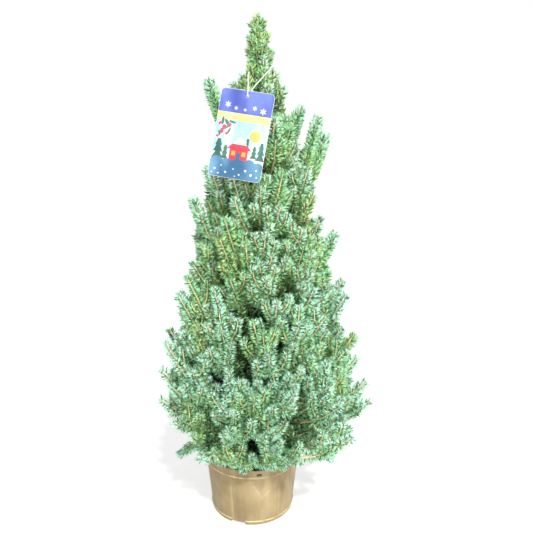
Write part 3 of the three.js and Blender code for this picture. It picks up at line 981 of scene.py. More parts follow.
def shade_smooth(bm):
    for face in bm.faces:
        face.smooth = True


def rings_along(line, radii, twist=0.0, flatness=1.0):
    """The place, turn and size of each ring along a line. Each is a matrix for a circle of radius 1."""
    aheads = unit(np.gradient(line, axis=0))
    turn = Vector(aheads[0]).to_track_quat("Z", "Y")
    rings = []
    for n, (point, ahead, radius) in enumerate(zip(line, aheads, radii)):
        turn = (turn @ Vector((0, 0, 1))).rotation_difference(Vector(ahead)) @ turn
        size = Vector((radius, flatness * radius, radius))
        rings.append(Matrix.LocRotScale(Vector(point), turn, size) @ Matrix.Rotation(twist * n, 4, "Z"))
    return rings


def draw_tube(bm, rings, sides):
    """A circle drawn out from ring to ring, and closed at both ends."""
    verts = bmesh.ops.create_circle(bm, cap_ends=False, segments=sides, radius=1)["verts"]
    edges = list(dict.fromkeys(edge for vert in verts for edge in vert.link_edges))
    bmesh.ops.transform(bm, matrix=rings[0], verts=verts)
    bmesh.ops.contextual_create(bm, geom=edges)
    whole = list(verts)
    for before, after in zip(rings, rings[1:]):
        grown = bmesh.ops.extrude_edge_only(bm, edges=edges)["geom"]
        verts = [part for part in grown if isinstance(part, bmesh.types.BMVert)]
        edges = [part for part in grown if isinstance(part, bmesh.types.BMEdge)]
        bmesh.ops.transform(bm, matrix=after @ before.inverted(), verts=verts)
        whole += verts
    bmesh.ops.contextual_create(bm, geom=edges)
    return whole


def roughen(bm, verts, depth, grain):
    """Moves points in and out along their normals; grain is how fine the relief is, along X, Y and Z."""
    bm.normal_update()
    for vert in verts:
        spot = Vector((vert.co.x * grain[0], vert.co.y * grain[1], vert.co.z * grain[2]))
        vert.co += vert.normal * depth * noise.fractal(spot, 0.9, 2.0, 3)


# ---- the pot ----
POT_FOOT_RADIUS = 74
POT_WALL = 2
POT_STEP = 7  # the height of the ring that the pot stands on
RIM_BAND = 15
BAND_FOOT = POT_HEIGHT - RIM_BAND
POT_FLOOR = POT_STEP - POT_WALL  # the underside of the floor, over the channel
RING_RADIUS = POT_FOOT_RADIUS + 1.6
PAD_RADIUS = 44
CHANNEL_RADIUS = 66
NOTCHES = 3
NOTCH_WIDTH = 27
FIRST_NOTCH = -109
NOTCH_HEADINGS = [FIRST_NOTCH + 360 * n / NOTCHES for n in range(NOTCHES)]
NOTCH_HALF = math.degrees(0.5 * NOTCH_WIDTH / POT_FOOT_RADIUS)
POT_STEPS = 288
WALL_ROWS = 37

DENTS = [  # the start and the end of each crease in the wall: a heading and a height; its depth and width
    ((-116, 101), (-115, 8), 1.5, 1.7),
    ((-54, 78), (-52, 10), 1.6, 1.5),
    ((-88, 88), (-77, 59), 1.2, 2.0),
    ((-77, 59), (-68, 72), 1.2, 2.0),
    ((-146, 70), (-132, 52), 0.9, 2.4),
    ((20, 96), (24, 14), 1.4, 2.6),
    ((98, 90), (103, 20), 1.2, 3.0),
    ((168, 98), (171, 9), 1.6, 2.6),
]
RIM_SLOT = {"heading": -80.5, "width": 11, "low": 107.5, "high": 112, "edge": 0.5, "depth": 0.9}
CRISP_ANGLE = 40  # degrees between two faces, past which the edge between them stays sharp


def body_radius(z):
    """The wall's outer radius at a height."""
    return lerp(POT_FOOT_RADIUS + 1.5, POT_RIM_RADIUS - 2.5, (z - POT_STEP) / (BAND_FOOT - POT_STEP))


def pot_profile():
    """The wall's section, from the middle of the underside out, up, over the rim and back inside."""
    wall = [(body_radius(z), z) for z in np.linspace(POT_STEP + 2, BAND_FOOT - 1, WALL_ROWS)]
    return [
        (0, 0),
        (PAD_RADIUS, 0),
        (PAD_RADIUS + 1.2, 0.4),
        (PAD_RADIUS + 4, POT_FLOOR),
        (CHANNEL_RADIUS, POT_FLOOR),
        (CHANNEL_RADIUS + 0.4, 0.4),
        (CHANNEL_RADIUS + 1, 0),
        (RING_RADIUS - 0.8, 0),
        (RING_RADIUS, 0.8),
        (RING_RADIUS, POT_FLOOR),
        (RING_RADIUS + 0.1, POT_STEP - 0.9),
        (RING_RADIUS + 0.9, POT_STEP - 0.6),
        (RING_RADIUS + 1.5, POT_STEP),
        (RING_RADIUS + 1.4, POT_STEP + 0.7),
        (RING_RADIUS + 0.6, POT_STEP + 1.5),
        *wall,
        (body_radius(BAND_FOOT) + 0.2, BAND_FOOT - 0.8),
        (POT_RIM_RADIUS + 0.1, BAND_FOOT - 0.6),
        (POT_RIM_RADIUS + 1.0, BAND_FOOT + 0.1),
        (POT_RIM_RADIUS + 1.1, BAND_FOOT + 0.9),
        (POT_RIM_RADIUS + 0.4, BAND_FOOT + 2.0),
        (POT_RIM_RADIUS - 0.1, BAND_FOOT + 2.9),
        (POT_RIM_RADIUS - 0.2, RIM_SLOT["low"]),
        (POT_RIM_RADIUS - 0.3, RIM_SLOT["high"]),
        (POT_RIM_RADIUS - 0.1, POT_HEIGHT - 2.6),
        (POT_RIM_RADIUS, POT_HEIGHT - 1.4),
        (POT_RIM_RADIUS - 0.7, POT_HEIGHT - 0.3),
        (POT_RIM_RADIUS - 1.8, POT_HEIGHT),
        (POT_RIM_RADIUS - 3.2, POT_HEIGHT - 0.2),
        (POT_RIM_RADIUS - 4, POT_HEIGHT - 1.2),
        (body_radius(BAND_FOOT) - POT_WALL, BAND_FOOT - 2),
        (body_radius(POT_STEP) - POT_WALL, POT_STEP),
        (0, POT_STEP),
    ]


def spin_profile(bm, profile, steps):
    """A closed shell of revolution from a section that starts and ends on the axis."""
    verts = [bm.verts.new((radius, 0, z)) for radius, z in profile]
    edges = [bm.edges.new(pair) for pair in zip(verts, verts[1:])]
    bmesh.ops.spin(
        bm, geom=verts + edges, cent=(0, 0, 0), axis=(0, 0, 1), dvec=(0, 0, 0),
        angle=2 * math.pi, steps=steps, use_merge=True, use_duplicate=False,
    )
    bmesh.ops.remove_doubles(bm, verts=bm.verts, dist=0.01)


def radius_of(point):
    return math.hypot(point.x, point.y)


def heading_of(point):
    return math.degrees(math.atan2(point.y, point.x))


def turn_between(a, b):
    """The angle from one heading to another, in degrees from -180 to 180."""
    return (a - b + 180) % 360 - 180


def at_notch(point, middle):
    """Whether a point's heading is in the notch at a heading."""
    return abs(turn_between(heading_of(point), middle)) < NOTCH_HALF


def open_edges(bm):
    return [edge for edge in bm.edges if edge.is_boundary]


def at_level(edge, z):
    return all(abs(vert.co.z - z) < 0.01 for vert in edge.verts)


def cut_notches(bm):
    """Opens the foot ring in three places, closes what that leaves open, and stops the bead there."""
    for middle in NOTCH_HEADINGS:
        ring = []
        for face in bm.faces:
            spot = face.calc_center_median()
            low = spot.z < POT_FLOOR - 0.1 and radius_of(spot) > CHANNEL_RADIUS - 0.1
            if low and at_notch(spot, middle):
                ring.append(face)
        bmesh.ops.delete(bm, geom=ring, context="FACES")
        roof = [edge for edge in open_edges(bm) if at_level(edge, POT_FLOOR)]
        bmesh.ops.bridge_loops(bm, edges=roof)
        bmesh.ops.holes_fill(bm, edges=open_edges(bm), sides=0)
    for vert in bm.verts:
        radius = radius_of(vert.co)
        on_bead = radius > RING_RADIUS + 0.2 and vert.co.z < POT_STEP + 1.7
        if on_bead and any(at_notch(vert.co, middle) for middle in NOTCH_HEADINGS):
            vert.co.x *= (RING_RADIUS + 0.2) / radius
            vert.co.y *= (RING_RADIUS + 0.2) / radius


def nearness(point, radius, start, end, width):
    """How near a point on the wall is to a crease, from 0 far off to 1 in its middle."""
    across = math.radians(turn_between(end[0], start[0])) * radius
    out = math.radians(turn_between(heading_of(point), start[0])) * radius
    line = Vector((across, end[1] - start[1]))
    spot = Vector((out, point.z - start[1]))
    share = min(1, max(0, spot.dot(line) / line.length_squared))
    return math.exp(-(((spot - share * line).length / width) ** 2))


def press_dents(bm):
    """Creases the wall, as thin moulded plastic does when it is squeezed, and notes where, for the painted
    highlight along the creases.
    """
    creased = bm.verts.layers.float.new("crease")
    for vert in bm.verts:
        radius = radius_of(vert.co)
        if not POT_STEP + 1.5 < vert.co.z < BAND_FOOT - 0.9 or radius < body_radius(vert.co.z) - 0.5:
            continue
        inward = 0.35 * noise.noise(Vector((0.03 * vert.co.x, 0.03 * vert.co.y, 0.02 * vert.co.z)))
        for start, end, depth, width in DENTS:
            near = nearness(vert.co, radius, start, end, width)
            inward += depth * near
            vert[creased] = max(vert[creased], near)
        vert.co.x *= 1 - inward / radius
        vert.co.y *= 1 - inward / radius


def sink_rim_slot(bm):
    """A small slot in the rim's band, its inside painted dark as shade."""
    half = math.degrees(0.5 * RIM_SLOT["width"] / POT_RIM_RADIUS)
    chosen = []
    for face in bm.faces:
        spot = face.calc_center_median()
        outside = radius_of(spot) > POT_RIM_RADIUS - 1
        level = RIM_SLOT["low"] < spot.z < RIM_SLOT["high"]
        if outside and level and abs(turn_between(heading_of(spot), RIM_SLOT["heading"])) < half:
            chosen.append(face)
    bmesh.ops.inset_region(
        bm, faces=chosen, thickness=RIM_SLOT["edge"], depth=-RIM_SLOT["depth"], use_even_offset=True
    )
    for face in chosen:
        # painted shade inside the slot
        face.material_index = 1


def paint_bead_highlights(bm):
    """The two beads round the wall take a brighter paint, a painted highlight."""
    for face in bm.faces:
        spot = face.calc_center_median()
        radius = radius_of(spot)
        at_foot = radius > RING_RADIUS + 0.5 and POT_STEP - 0.8 < spot.z < POT_STEP + 1.2
        at_rim = radius > POT_RIM_RADIUS + 0.6 and BAND_FOOT + 0.2 < spot.z < BAND_FOOT + 1.8
        if at_foot or at_rim:
            # painted highlight on the beads
            face.material_index = 2


def bead_highlight_finish():
    """Brighter gold paint on the beads, a painted highlight."""
    finish = Finish("gold paint with painted bead highlight", 0xD8C898, 0.4, 0.1)
    finish.set("Specular IOR Level", 0.3)
    finish.paint(finish.noise(90, 3.0), (0.35, 0x968860), (0.65, 0xC0B184))
    return finish.material


def pot_finish():
    """Satin gold paint with faint runs down the wall, and a painted highlight along the creases."""
    finish = Finish("gold paint", 0xB8A06A, 0.42, 0.1)
    finish.set("Specular IOR Level", 0.1)
    runs = finish.noise(34, 3.0, (1, 1, 0.16))
    clouds = finish.noise(22, 5.0)
    crease_highlight = finish.tree.nodes.new("ShaderNodeAttribute")
    crease_highlight.attribute_name = "crease"
    mixed = finish.added(finish.scaled(runs, 0.5), finish.scaled(clouds, 0.4))
    # painted highlight: the paint is lighter along the creases
    mixed = finish.added(mixed, finish.scaled(crease_highlight.outputs["Fac"], 0.08))
    finish.paint(mixed, (0.3, 0x75664A), (0.45, 0x8E7D5C), (0.6, 0xA49270), (0.9, 0xDCCA9F))
    finish.link(finish.ramp(clouds, [(0.3, 0.32), (0.7, 0.48)]), "Roughness")
    finish.bump(finish.added(finish.noise(420, 3.0), finish.scaled(runs, 2.0)), 0.0002)
    return finish.material


def slot_shade_finish():
    """Painted shade: the dark inside of the rim's slot."""
    finish = Finish("painted shade in the rim slot", 0x2A2520, 0.5)
    finish.paint(finish.noise(500, 2.0), (0.3, 0x1C1814), (0.7, 0x38312A))
    return finish.material


def make_pot():
    bm = bmesh.new()
    spin_profile(bm, pot_profile(), POT_STEPS)
    bmesh.ops.recalc_face_normals(bm, faces=bm.faces)
    cut_notches(bm)
    sink_rim_slot(bm)
    press_dents(bm)
    paint_bead_highlights(bm)
    shade_smooth(bm)
    pot = new_piece(bm, "gold_pot", pot_finish(), slot_shade_finish(), bead_highlight_finish())
    settle(pot, ["pot"])
    pot.modifiers.new("crisp edges", "EDGE_SPLIT").split_angle = math.radians(CRISP_ANGLE)


# ---- the compost ----
BED_RINGS = 60
BED_STEPS = 180
BED_DEPTH = 12
BED_FALL = 2.4  # from its middle to the pot's wall


def make_compost():
    """Coarse bark compost: a bed of crumbs that stands a little higher towards the trunk."""
    inside = body_radius(BAND_FOOT) - POT_WALL - 2 * GAP
    foot = SOIL_TOP - BED_DEPTH
    bed = [(r, SOIL_TOP - 1 - BED_FALL * (r / inside) ** 2) for r in np.linspace(inside, 0, BED_RINGS)]
    bm = bmesh.new()
    spin_profile(bm, [(0, foot), (inside - 1, foot), *bed], BED_STEPS)
    for vert in bm.verts:
        if vert.co.z > foot + 0.5 * BED_DEPTH and vert.co.xy.length < inside - 0.5:
            spot = 0.34 * vert.co
            lumps = 1.6 * noise.noise(0.25 * spot) + 1.5 * noise.noise(spot)
            vert.co.z += lumps + 0.6 * noise.noise(2.7 * spot)
    settle(new_piece(bm, "compost_bed", compost_finish()), ["compost"])


def compost_finish():
    """Damp dark bark, with near-black patches that paint the shade between its crumbs."""
    finish = Finish("bark compost", 0x2E2218, 0.95)
    finish.paint(finish.noise(330, 6.0), (0.3, 0x17100B), (0.55, 0x33261B), (0.75, 0x5B4632))
    finish.bump(finish.noise(900, 4.0), 0.0008)
    return finish.material


# ---- the trunk, the boughs and the masses' stems ----
TRUNK_RINGS = 170
TRUNK_SIDES = 22
TRUNK_SUNK = 4  # its foot stands this deep in the compost
TRUNK_RELIEF = 0.9
TRUNK_GRAIN = (0.42, 0.42, 0.13)  # its ridges run up it
BOUGH_RINGS = 16
BOUGH_SIDES = 9
BOUGH_RELIEF = 0.4
BOUGH_GRAIN = (0.4, 0.4, 0.4)
STEM_THICKNESS = 1.3  # a stem from the trunk is this many times as thick as a twig
LIMB_TAPER = 0.45  # what is left of a bough's or a stem's radius at its end


def make_trunk():
    """The trunk, ridged along its length."""
    shares = np.linspace(0, 1, TRUNK_RINGS) ** 1.15
    heights = SOIL_TOP - TRUNK_SUNK + (TRUNK_TOP - SOIL_TOP + TRUNK_SUNK) * shares
    rings = rings_along(axis_at(heights), trunk_radius(np.maximum(heights, SOIL_TOP)))
    bm = bmesh.new()
    roughen(bm, draw_tube(bm, rings, TRUNK_SIDES), TRUNK_RELIEF, TRUNK_GRAIN)
    shade_smooth(bm)
    settle(new_piece(bm, "trunk_bark", bark_finish()), ["trunk"])


def make_boughs():
    """The boughs that carry the lower masses, and each mass's stem on from its bough."""
    bm = bmesh.new()
    nodes = []
    for index, tier in enumerate(TIERS):
        for number in range(tier["masses"]):
            cell = Cell(index, number)
            foot = 0.7 * float(trunk_radius(cell.level(0, 0.5)))
            end = 0.6 * cell.edge if index else 0.4 * cell.edge
            thick = BOUGH_RADIUS if cell.on_bough else STEM_THICKNESS * TWIG_RADIUS
            shares = np.linspace(0, 1, BOUGH_RINGS)
            line = curve(cell.middle_line(foot, end), shares)
            rings = rings_along(line, lerp(thick, LIMB_TAPER * thick, shares))
            roughen(bm, draw_tube(bm, rings, BOUGH_SIDES), BOUGH_RELIEF, BOUGH_GRAIN)
            if cell.on_bough:
                nodes.append(f"{tier['name']}_bough_{number + 1}")
    shade_smooth(bm)
    settle(new_piece(bm, "bough_bark", bark_finish()), nodes)


def bark_finish():
    """Scaly grey-brown bark, redder in its cracks."""
    finish = Finish("scaly bark", 0x9A7450, 0.85)
    plates = finish.noise(130, 5.0, (1, 1, 0.35))
    finish.paint(plates, (0.32, 0x4A3222), (0.5, 0x8A6646), (0.7, 0xB4936B))
    finish.bump(finish.noise(420, 4.0, (1, 1, 0.4)), 0.0006)
    return finish.material


# ---- the hang tag ----
CARD_INKS = [  # the darker and the lighter colour of the bare card and of each ink
    ("white card", 0xC9CCCC, 0xD6D8D6),
    ("violet-blue ink", 0x36428E, 0x6070B4),
    ("pale yellow ink", 0xC4B660, 0xCEC68C),
    ("pale sky ink", 0x74A8C2, 0xB0C8D0),
    ("blue-green ink", 0x2A5678, 0x5F8AA4),
    ("red ink", 0xAC2C3C, 0xC8505A),
    ("gold ink", 0xB88E34, 0xCDB068),
    ("dark green ink", 0x1E403C, 0x44705F),
]
WHITE, HEADER, BAND, SKY, FOOT, RED, GOLD, GREEN = range(len(CARD_INKS))
CORNER_STEPS = 7
HOLE_STEPS = 28
PRINT_LIFT = 0.04  # from each layer of print to the one over it
PRINT_MARGIN = 0.35
ZONES = [(-26, HEADER), (-37, BAND), (-96, SKY), (-200, FOOT)]  # each one's lower edge, from the hole
HILLS = [(-24, -98, 20, 17), (20, -99, 24, 24), (-2, -97, 20, 11)]  # middle, half width and height
BUSHES = [(-30, -96, 9, 5), (-14, -97, 8, 4), (4, -97, 11, 5), (20, -96, 8, 6), (33, -97, 7, 4)]
FIRS = [(-31, -95, 19, 36), (-20, -94, 12, 25), (34, -90, 14, 32), (24, -88, 11, 22)]
HUT = (1, -95)
SUN = (22, -56, 8.5)
BERRIES = [  # place and radius
    (-34, -44, 2.8), (-27, -48, 3.4), (-19, -44, 2.6), (-30, -55, 3.0), (-22, -57, 2.4), (-35.5, -62, 2.2),
]
FLAKES = [  # place and radius
    (-33, -46, 1.3), (-20, -50, 0.9), (-10, -43, 1.1), (1, -52, 0.8), (-4, -62, 1.0), (8, -45, 1.2),
    (35, -49, 1.2), (31, -66, 0.9), (-12, -58, 1.1), (33, -41, 0.9), (-36, -60, 0.9), (10, -66, 0.8),
    (-31, -110, 1.4), (-22, -104, 1.0), (-14, -113, 1.6), (-3, -107, 1.1), (7, -114, 1.3), (16, -107, 1.7),
    (25, -112, 2.0), (32, -104, 1.4), (34, -114, 1.1), (-35, -116, 1.0), (-25, -116, 1.2), (1, -117, 0.9),
]
STARS = [(-27, -15, 4.4), (-14, -19, 3.0), (14, -16, 3.4), (27, -19, 4.8), (0, -20, 2.4)]


def card_face(bm, margin):
    """The card's flat face, with rounded corners and the string's hole."""
    wide = TAG["width"] - 2 * margin
    high = TAG["height"] - 2 * margin
    corners = bmesh.ops.create_grid(bm, x_segments=1, y_segments=1, size=0.5)["verts"]
    bmesh.ops.scale(bm, vec=(wide, high, 1), verts=corners)
    bmesh.ops.translate(bm, vec=(0, TAG["hole_drop"] - TAG["height"] / 2, 0), verts=corners)
    bmesh.ops.bevel(
        bm, geom=corners, offset=TAG["corner"] - margin, offset_type="OFFSET", affect="VERTICES",
        segments=CORNER_STEPS, profile=0.5, material=-1,
    )
    bmesh.ops.delete(bm, geom=list(bm.faces), context="FACES_ONLY")
    bmesh.ops.create_circle(bm, cap_ends=False, segments=HOLE_STEPS, radius=TAG["hole"] + margin)
    bmesh.ops.triangle_fill(bm, edges=list(bm.edges), use_beauty=True, use_dissolve=False, normal=(0, 0, 1))


def make_card():
    bm = bmesh.new()
    card_face(bm, 0)
    bmesh.ops.translate(bm, vec=(0, 0, -TAG["thickness"] / 2), verts=bm.verts)
    grown = bmesh.ops.extrude_face_region(bm, geom=list(bm.faces))["geom"]
    front = [part for part in grown if isinstance(part, bmesh.types.BMVert)]
    bmesh.ops.translate(bm, vec=(0, 0, TAG["thickness"]), verts=front)
    bmesh.ops.transform(bm, matrix=TAG_FRAME, verts=bm.verts)
    settle(new_piece(bm, "tag_card", ink_finish(*CARD_INKS[WHITE])), ["hang_tag"])


def print_zones(bm):
    """The header, the band, the picture's sky and its foot, cut across the card."""
    card_face(bm, PRINT_MARGIN)
    for edge, _ in ZONES[:-1]:
        parts = [*bm.verts, *bm.edges, *bm.faces]
        bmesh.ops.bisect_plane(bm, geom=parts, dist=0.001, plane_co=(0, edge, 0), plane_no=(0, 1, 0))
    for face in bm.faces:
        height = face.calc_center_median().y
        face.material_index = next(ink for edge, ink in ZONES if height > edge)


def print_shape(bm, ink, layer, sides, place, size, turn=0.0, tilt=0.0):
    """A flat shape with so many sides: turned, stretched to a size, tilted and set on the card."""
    shape = bmesh.ops.create_circle(bm, cap_ends=True, segments=sides, radius=1)["verts"]
    for face in dict.fromkeys(face for vert in shape for face in vert.link_faces):
        face.material_index = ink
    stretched = Matrix.Diagonal((*size, 1, 1)) @ Matrix.Rotation(turn, 4, "Z")
    lift = Matrix.Translation((*place, PRINT_LIFT * layer))
    bmesh.ops.transform(bm, matrix=lift @ Matrix.Rotation(tilt, 4, "Z") @ stretched, verts=shape)
    return shape


def trim(bm, shape, place, outwards):
    """Cuts off what a shape has beyond a line across the card."""
    parts = dict.fromkeys(shape)
    for vert in shape:
        parts.update(dict.fromkeys([*vert.link_edges, *vert.link_faces]))
    bmesh.ops.bisect_plane(
        bm, geom=list(parts), dist=0.001, plane_co=place, plane_no=outwards, clear_outer=True
    )


def print_block(bm, ink, layer, x, y, wide, high, tilt=0.0):
    size = (wide / math.sqrt(2), high / math.sqrt(2))
    return print_shape(bm, ink, layer, 4, (x, y), size, math.pi / 4, tilt)


def print_peak(bm, ink, layer, x, foot, wide, high):
    size = (wide / math.sqrt(3), high / 1.5)
    return print_shape(bm, ink, layer, 3, (x, foot + high / 3), size)


def print_land(bm):
    """Snowy hills under a low sun, and dark bushes along the picture's foot."""
    ground = ZONES[2][0]
    side = TAG["width"] / 2 - PRINT_MARGIN
    print_shape(bm, GOLD, 1, 40, SUN[:2], (SUN[2], SUN[2]))
    for n, (x, y, wide, high) in enumerate(HILLS):
        hill = print_shape(bm, WHITE, 2 + 0.2 * n, 48, (x, y), (wide, high))
        trim(bm, hill, (0, ground, 0), (0, -1, 0))
    for n, (x, y, wide, high) in enumerate(BUSHES):
        print_shape(bm, FOOT, 5 + 0.2 * n, 24, (x, y), (wide, high))
    for outwards in (-1, 1):
        raised = [vert for vert in bm.verts if vert.co.z > 0.5 * PRINT_LIFT]
        beyond = [vert for vert in raised if outwards * vert.co.x > side]
        near = [other for vert in beyond for edge in vert.link_edges for other in edge.verts]
        trim(bm, near, (outwards * side, 0, 0), (outwards, 0, 0))


def print_fir(bm, x, foot, wide, high):
    """A small fir of three tiers, each with snow on it."""
    for n, (share, size) in enumerate(((0.0, 1.0), (0.28, 0.78), (0.54, 0.56))):
        print_peak(bm, GREEN, 3 + 0.4 * n, x, foot + share * high, wide * size, 0.46 * high)
        tip = foot + (share + 0.28) * high
        print_peak(bm, WHITE, 3.2 + 0.4 * n, x, tip, 0.4 * wide * size, 0.18 * high)


def print_hut(bm):
    """A red hut with a snowy roof, gold windows and a door."""
    x, foot = HUT
    print_block(bm, GREEN, 4.1, x + 11, foot + 29, 4, 11)
    print_block(bm, RED, 4, x, foot + 9, 28, 19)
    print_peak(bm, RED, 4.2, x, foot + 17, 38, 19)
    print_peak(bm, WHITE, 4.4, x, foot + 24.5, 22, 11.5)
    for side in (-8, 8):
        print_block(bm, GOLD, 4.4, x + side, foot + 11, 6, 6.5)
    print_block(bm, FOOT, 4.4, x, foot + 6, 6, 12)


def print_berries(bm):
    """A sprig of red berries that hangs into the picture's sky."""
    for n, (x, y, size) in enumerate(BERRIES):
        leaf = (0.7 * size, 2.2 * size)
        print_shape(bm, GREEN, 1.4, 12, (x + 1.2 * size, y + 1.7 * size), leaf, tilt=0.7 * n)
        print_shape(bm, RED, 1.8 + 0.2 * n, 20, (x, y), (size, size))


def print_star(bm, x, y, size):
    """A snowflake of three crossed strokes."""
    for n in range(3):
        print_block(bm, WHITE, 1 + 0.2 * n, x, y, 2 * size, 0.3 * size, math.radians(60 * n + 30))


def make_print():
    """A winter picture on the card's front: a hut among firs in the snow, and stars over it."""
    bm = bmesh.new()
    print_zones(bm)
    print_land(bm)
    for fir in FIRS:
        print_fir(bm, *fir)
    print_hut(bm)
    print_berries(bm)
    for x, y, size in FLAKES:
        print_shape(bm, WHITE, 7, 10, (x, y), (size, size))
    for star in STARS:
        print_star(bm, *star)
    bmesh.ops.translate(bm, vec=(0, 0, TAG["thickness"] / 2 + PRINT_LIFT), verts=bm.verts)
    bmesh.ops.transform(bm, matrix=TAG_FRAME, verts=bm.verts)
    outwards = TAG_FRAME.to_3x3() @ Vector((0, 0, 1))
    inks = [ink_finish(*ink) for ink in CARD_INKS]
    settle(new_piece(bm, "tag_print", *inks, facing=outwards), ["hang_tag"])


def ink_finish(name, low, high):
    """Glossy print: its colour runs softly across the card, with the print's fine grain in it."""
    finish = Finish(name, high, 0.3)
    finish.set("Coat Weight", 0.5)
    finish.set("Coat Roughness", 0.12)
    wash = finish.noise(26, 2.0, (1, 1, 0.5))
    grain = finish.noise(1500, 1.0)
    mixed = finish.added(finish.scaled(wash, 0.85), finish.scaled(grain, 0.15))
    finish.paint(mixed, (0.4, low), (0.6, high))
    finish.bump(finish.noise(90, 1.0), 0.0003)
    return finish.material


def string_finish():
    """White polyester string, a little furry."""
    finish = Finish("white string", 0xF2F2EE, 0.55)
    finish.set("Sheen Weight", 0.3)
    finish.paint(finish.noise(700, 3.0), (0.3, 0xDADAD4), (0.7, 0xFAFAF7))
    return finish.material


STRING_RINGS = 420
STRING_SIDES = 10
KNOT_RINGS = 60
KNOT_TURNS = 3.4
KNOT_RADIUS = 1.5
TAIL_RINGS = 14
TAIL_SIDES = 8  # and the knot's


def string_run(bm, line, thickness, sides, **shape):
    """A run of string along a line, so many times as thick as the string is."""
    draw_tube(bm, rings_along(line, np.full(len(line), thickness * STRING_RADIUS), **shape), sides)


def make_string():
    """Thin white string of two plies, up from its knot, through the card's hole and back."""
    bm = bmesh.new()
    way = curve(STRING_POINTS, np.linspace(0, 1, STRING_RINGS))
    string_run(bm, way, 1.12, STRING_SIDES, twist=0.5, flatness=0.72)
    knot = np.array(STRING_POINTS[0])
    turns = np.linspace(0, KNOT_TURNS * 2 * math.pi, KNOT_RINGS)
    coil = [0.05 * turns, KNOT_RADIUS * np.cos(turns), KNOT_RADIUS * np.sin(turns)]
    string_run(bm, knot + np.stack(coil, axis=1), 1, TAIL_SIDES)
    for side in (-1, 1):
        tail = [knot, knot + (3, 3 * side, 3), knot + (8, 4 * side, -1)]
        string_run(bm, curve(tail, np.linspace(0, 1, TAIL_RINGS)), 0.9, TAIL_SIDES)
    shade_smooth(bm)
    settle(new_piece(bm, "tag_string_twist", string_finish()), ["tag_string"])


# ---- the crown ----
def foliage_nodes(tiers):
    return [f"{tier['name']}_foliage_{n + 1}" for tier in tiers for n in range(tier["masses"])]


NEEDLE_SEED = 5
# the shaded tint is painted shade, and the gleam tint is partly a painted highlight
NEEDLE_COLOURS = {  # the darker and the lighter colour of each tint
    # the lower crown: bluer, for its bloom, and painted lighter, as light on the shade that falls there
    "frosted needles painted lighter": {
        "pale": (0xAAE2C8, 0xC4ECD8),
        "blue": (0x92D29C, 0xAEE2B4),
        "green": (0x88C474, 0xA6D68C),
        "lime": (0x9CC672, 0xB4D48C),
        "gleam": (0xC0E8C0, 0xD4F2CE),
        "shaded": (0x42724A, 0x6C9864),
    },
    "fresh needles": {
        "pale": (0xA8DABA, 0xC4E8D0),
        "blue": (0x8ACA92, 0xA6DCA8),
        "green": (0x80BC68, 0xA0D082),
        "lime": (0x9CC672, 0xB4D48C),
        "gleam": (0xC8E8BC, 0xDCF2CE),
        "shaded": (0x3A683E, 0x648E58),
    },
}


def needle_pieces(growth, prefix, nodes, kind):
    """One piece for each tint, or more where a tint is past the limit."""
    rng = np.random.default_rng(NEEDLE_SEED)
    for tint, colours in NEEDLE_COLOURS[kind].items():
        material = needle_finish(f"{kind} {tint}", *colours)
        needles = np.concatenate(growth.needles[tint])
        per_piece = PIECE_LIMIT // len(NEEDLE_FACES)
        parts = np.array_split(needles, math.ceil(len(needles) / per_piece)) if len(needles) else []
        for n, part in enumerate(parts):
            half_widths = NEEDLE_HALF_WIDTHS["inner" if tint == "shaded" else "outer"]
            vertices, triangles = needle_mesh(part, half_widths, rng)
            suffix = f"_{n + 1}" if len(parts) > 1 else ""
            piece = mesh_piece(f"{prefix}_{tint}_needles{suffix}", vertices, triangles, material)
            settle(piece, nodes)


def twig_pieces(growth, prefix, nodes, barks):
    """One piece for the young twigs and one for the old ones."""
    for age, bark in barks.items():
        vertices, triangles = twig_mesh(growth.twigs[age])
        settle(mesh_piece(f"{prefix}_{age}_twigs", vertices, triangles, bark), nodes)


def grow_tiers(growth, tiers, first):
    for index, tier in enumerate(tiers, first):
        for number in range(tier["masses"]):
            grow_mass(growth, index, number)


def make_crown():
    """The crown in two halves: the frosted tiers on boughs with the fringe, and those over them. The lower
    half's needles are bluer, and painted lighter to lift the shade that falls on them.
    """
    barks = {
        "young": twig_finish("young twig bark", 0xE6C890, 0xF6E0B2),
        # old bark: its own grey-brown, painted darker as shade in the gaps of the crown
        "old": twig_finish("old twig bark with painted shade", 0x3E2F22, 0x6E563E),
    }
    lower = Growth()
    tiers = TIERS[:BOUGH_TIERS]
    grow_tiers(lower, tiers, 0)
    grow_fringe(lower)
    nodes = foliage_nodes(tiers)
    needle_pieces(lower, "lower_crown", nodes, "frosted needles painted lighter")
    twig_pieces(lower, "lower_crown", nodes, barks)
    upper = Growth()
    tiers = TIERS[BOUGH_TIERS:]
    grow_tiers(upper, tiers, BOUGH_TIERS)
    grow_leader(upper)
    nodes = [*foliage_nodes(tiers), "leader_foliage"]
    needle_pieces(upper, "upper_crown", nodes, "fresh needles")
    twig_pieces(upper, "upper_crown", nodes, barks)


# ---- the studio ----
SENSOR_WIDTH = 36
LENS = 40.53  # both in millimetres
CAMERA_PLACE = (0.0263, -0.98, 0.738)
CAMERA_PITCH = 15.9  # degrees below the horizon
WORLD_WHITE = (1, 1, 1, 1)
WORLD_TINT = (0.97, 0.985, 1, 1)
WORLD_STRENGTH = 0.7
FLOOR_RADIUS = 40_000
FLOOR_STEPS = 96
FLOOR_GLOW = 0.62  # so that the floor is nearly white, and only the plant's shade shows on it
LIT_MIDDLE = Vector((0, 0, 0.4))


def place_object(name, data, place, turn):
    thing = bpy.data.objects.new(name, data)
    thing.location = place
    thing.rotation_euler = turn
    bpy.context.scene.collection.objects.link(thing)
    return thing


def make_camera():
    data = bpy.data.cameras.new("camera")
    data.sensor_width = SENSOR_WIDTH
    data.lens = LENS
    data.clip_start = 0.05
    turn = (math.radians(90 - CAMERA_PITCH), 0, 0)
    bpy.context.scene.camera = place_object("camera", data, CAMERA_PLACE, turn)


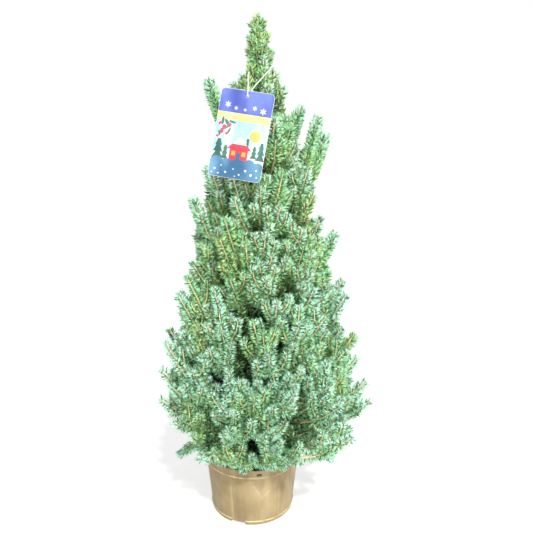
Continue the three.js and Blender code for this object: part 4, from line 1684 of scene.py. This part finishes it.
def area_light(name, place, size, power):
    """A round light that faces the middle of the plant."""
    data = bpy.data.lights.new(name, "AREA")
    data.shape = "DISK"
    data.size = size
    data.energy = power
    turn = (LIT_MIDDLE - Vector(place)).to_track_quat("-Z", "Y").to_euler()
    place_object(name, data, place, turn)


def sun_light(name, elevation, heading, spread, strength):
    """A distant light that comes from an elevation and a heading, in degrees."""
    data = bpy.data.lights.new(name, "SUN")
    data.angle = math.radians(spread)
    data.energy = strength
    place_object(name, data, (0, 0, 0), (math.radians(90 - elevation), 0, math.radians(heading + 90)))


def background(tree, tint, strength):
    node = tree.nodes.new("ShaderNodeBackground")
    node.inputs["Color"].default_value = tint
    node.inputs["Strength"].default_value = strength
    return node


def make_world():
    """White to look at, and a softer white to light with."""
    world = bpy.data.worlds.new("studio")
    world.use_nodes = True
    tree = world.node_tree
    tree.nodes.clear()
    seen = background(tree, WORLD_WHITE, 1.0)
    lit = background(tree, WORLD_TINT, WORLD_STRENGTH)
    path = tree.nodes.new("ShaderNodeLightPath")
    mix = tree.nodes.new("ShaderNodeMixShader")
    out = tree.nodes.new("ShaderNodeOutputWorld")
    tree.links.new(path.outputs["Is Camera Ray"], mix.inputs["Fac"])
    tree.links.new(lit.outputs["Background"], mix.inputs[1])
    tree.links.new(seen.outputs["Background"], mix.inputs[2])
    tree.links.new(mix.outputs["Shader"], out.inputs["Surface"])
    bpy.context.scene.world = world


def make_floor():
    """A wide pale floor that glows a little."""
    finish = Finish("pale floor", 0xA2A2A0, 0.6)
    finish.set("Specular IOR Level", 0.2)
    finish.set("Emission Color", WORLD_WHITE)
    finish.set("Emission Strength", FLOOR_GLOW)
    finish.paint(finish.noise(40, 3.0), (0.3, 0x9E9E9C), (0.7, 0xA6A6A4))
    bm = bmesh.new()
    bmesh.ops.create_circle(bm, cap_ends=True, segments=FLOOR_STEPS, radius=FLOOR_RADIUS)
    new_piece(bm, "floor", finish.material, facing=Vector((0, 0, 1)))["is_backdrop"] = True


def make_studio():
    make_camera()
    make_world()
    make_floor()
    sun_light("key", elevation=52, heading=-72, spread=4, strength=4.5)
    area_light("front", (0.2, -2.2, 0.4), size=1.4, power=30)
    area_light("fill", (-1.5, -1.3, 0.9), size=1.2, power=4)
    bpy.context.scene.view_settings.view_transform = "Standard"


make_studio()
make_pot()
make_compost()
make_trunk()
make_boughs()
make_card()
make_print()
make_string()
make_crown()

boxes = {"cad": CAD_BOX, "visual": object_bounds()}
{name: [list(corner) for corner in box] for name, box in boxes.items()}
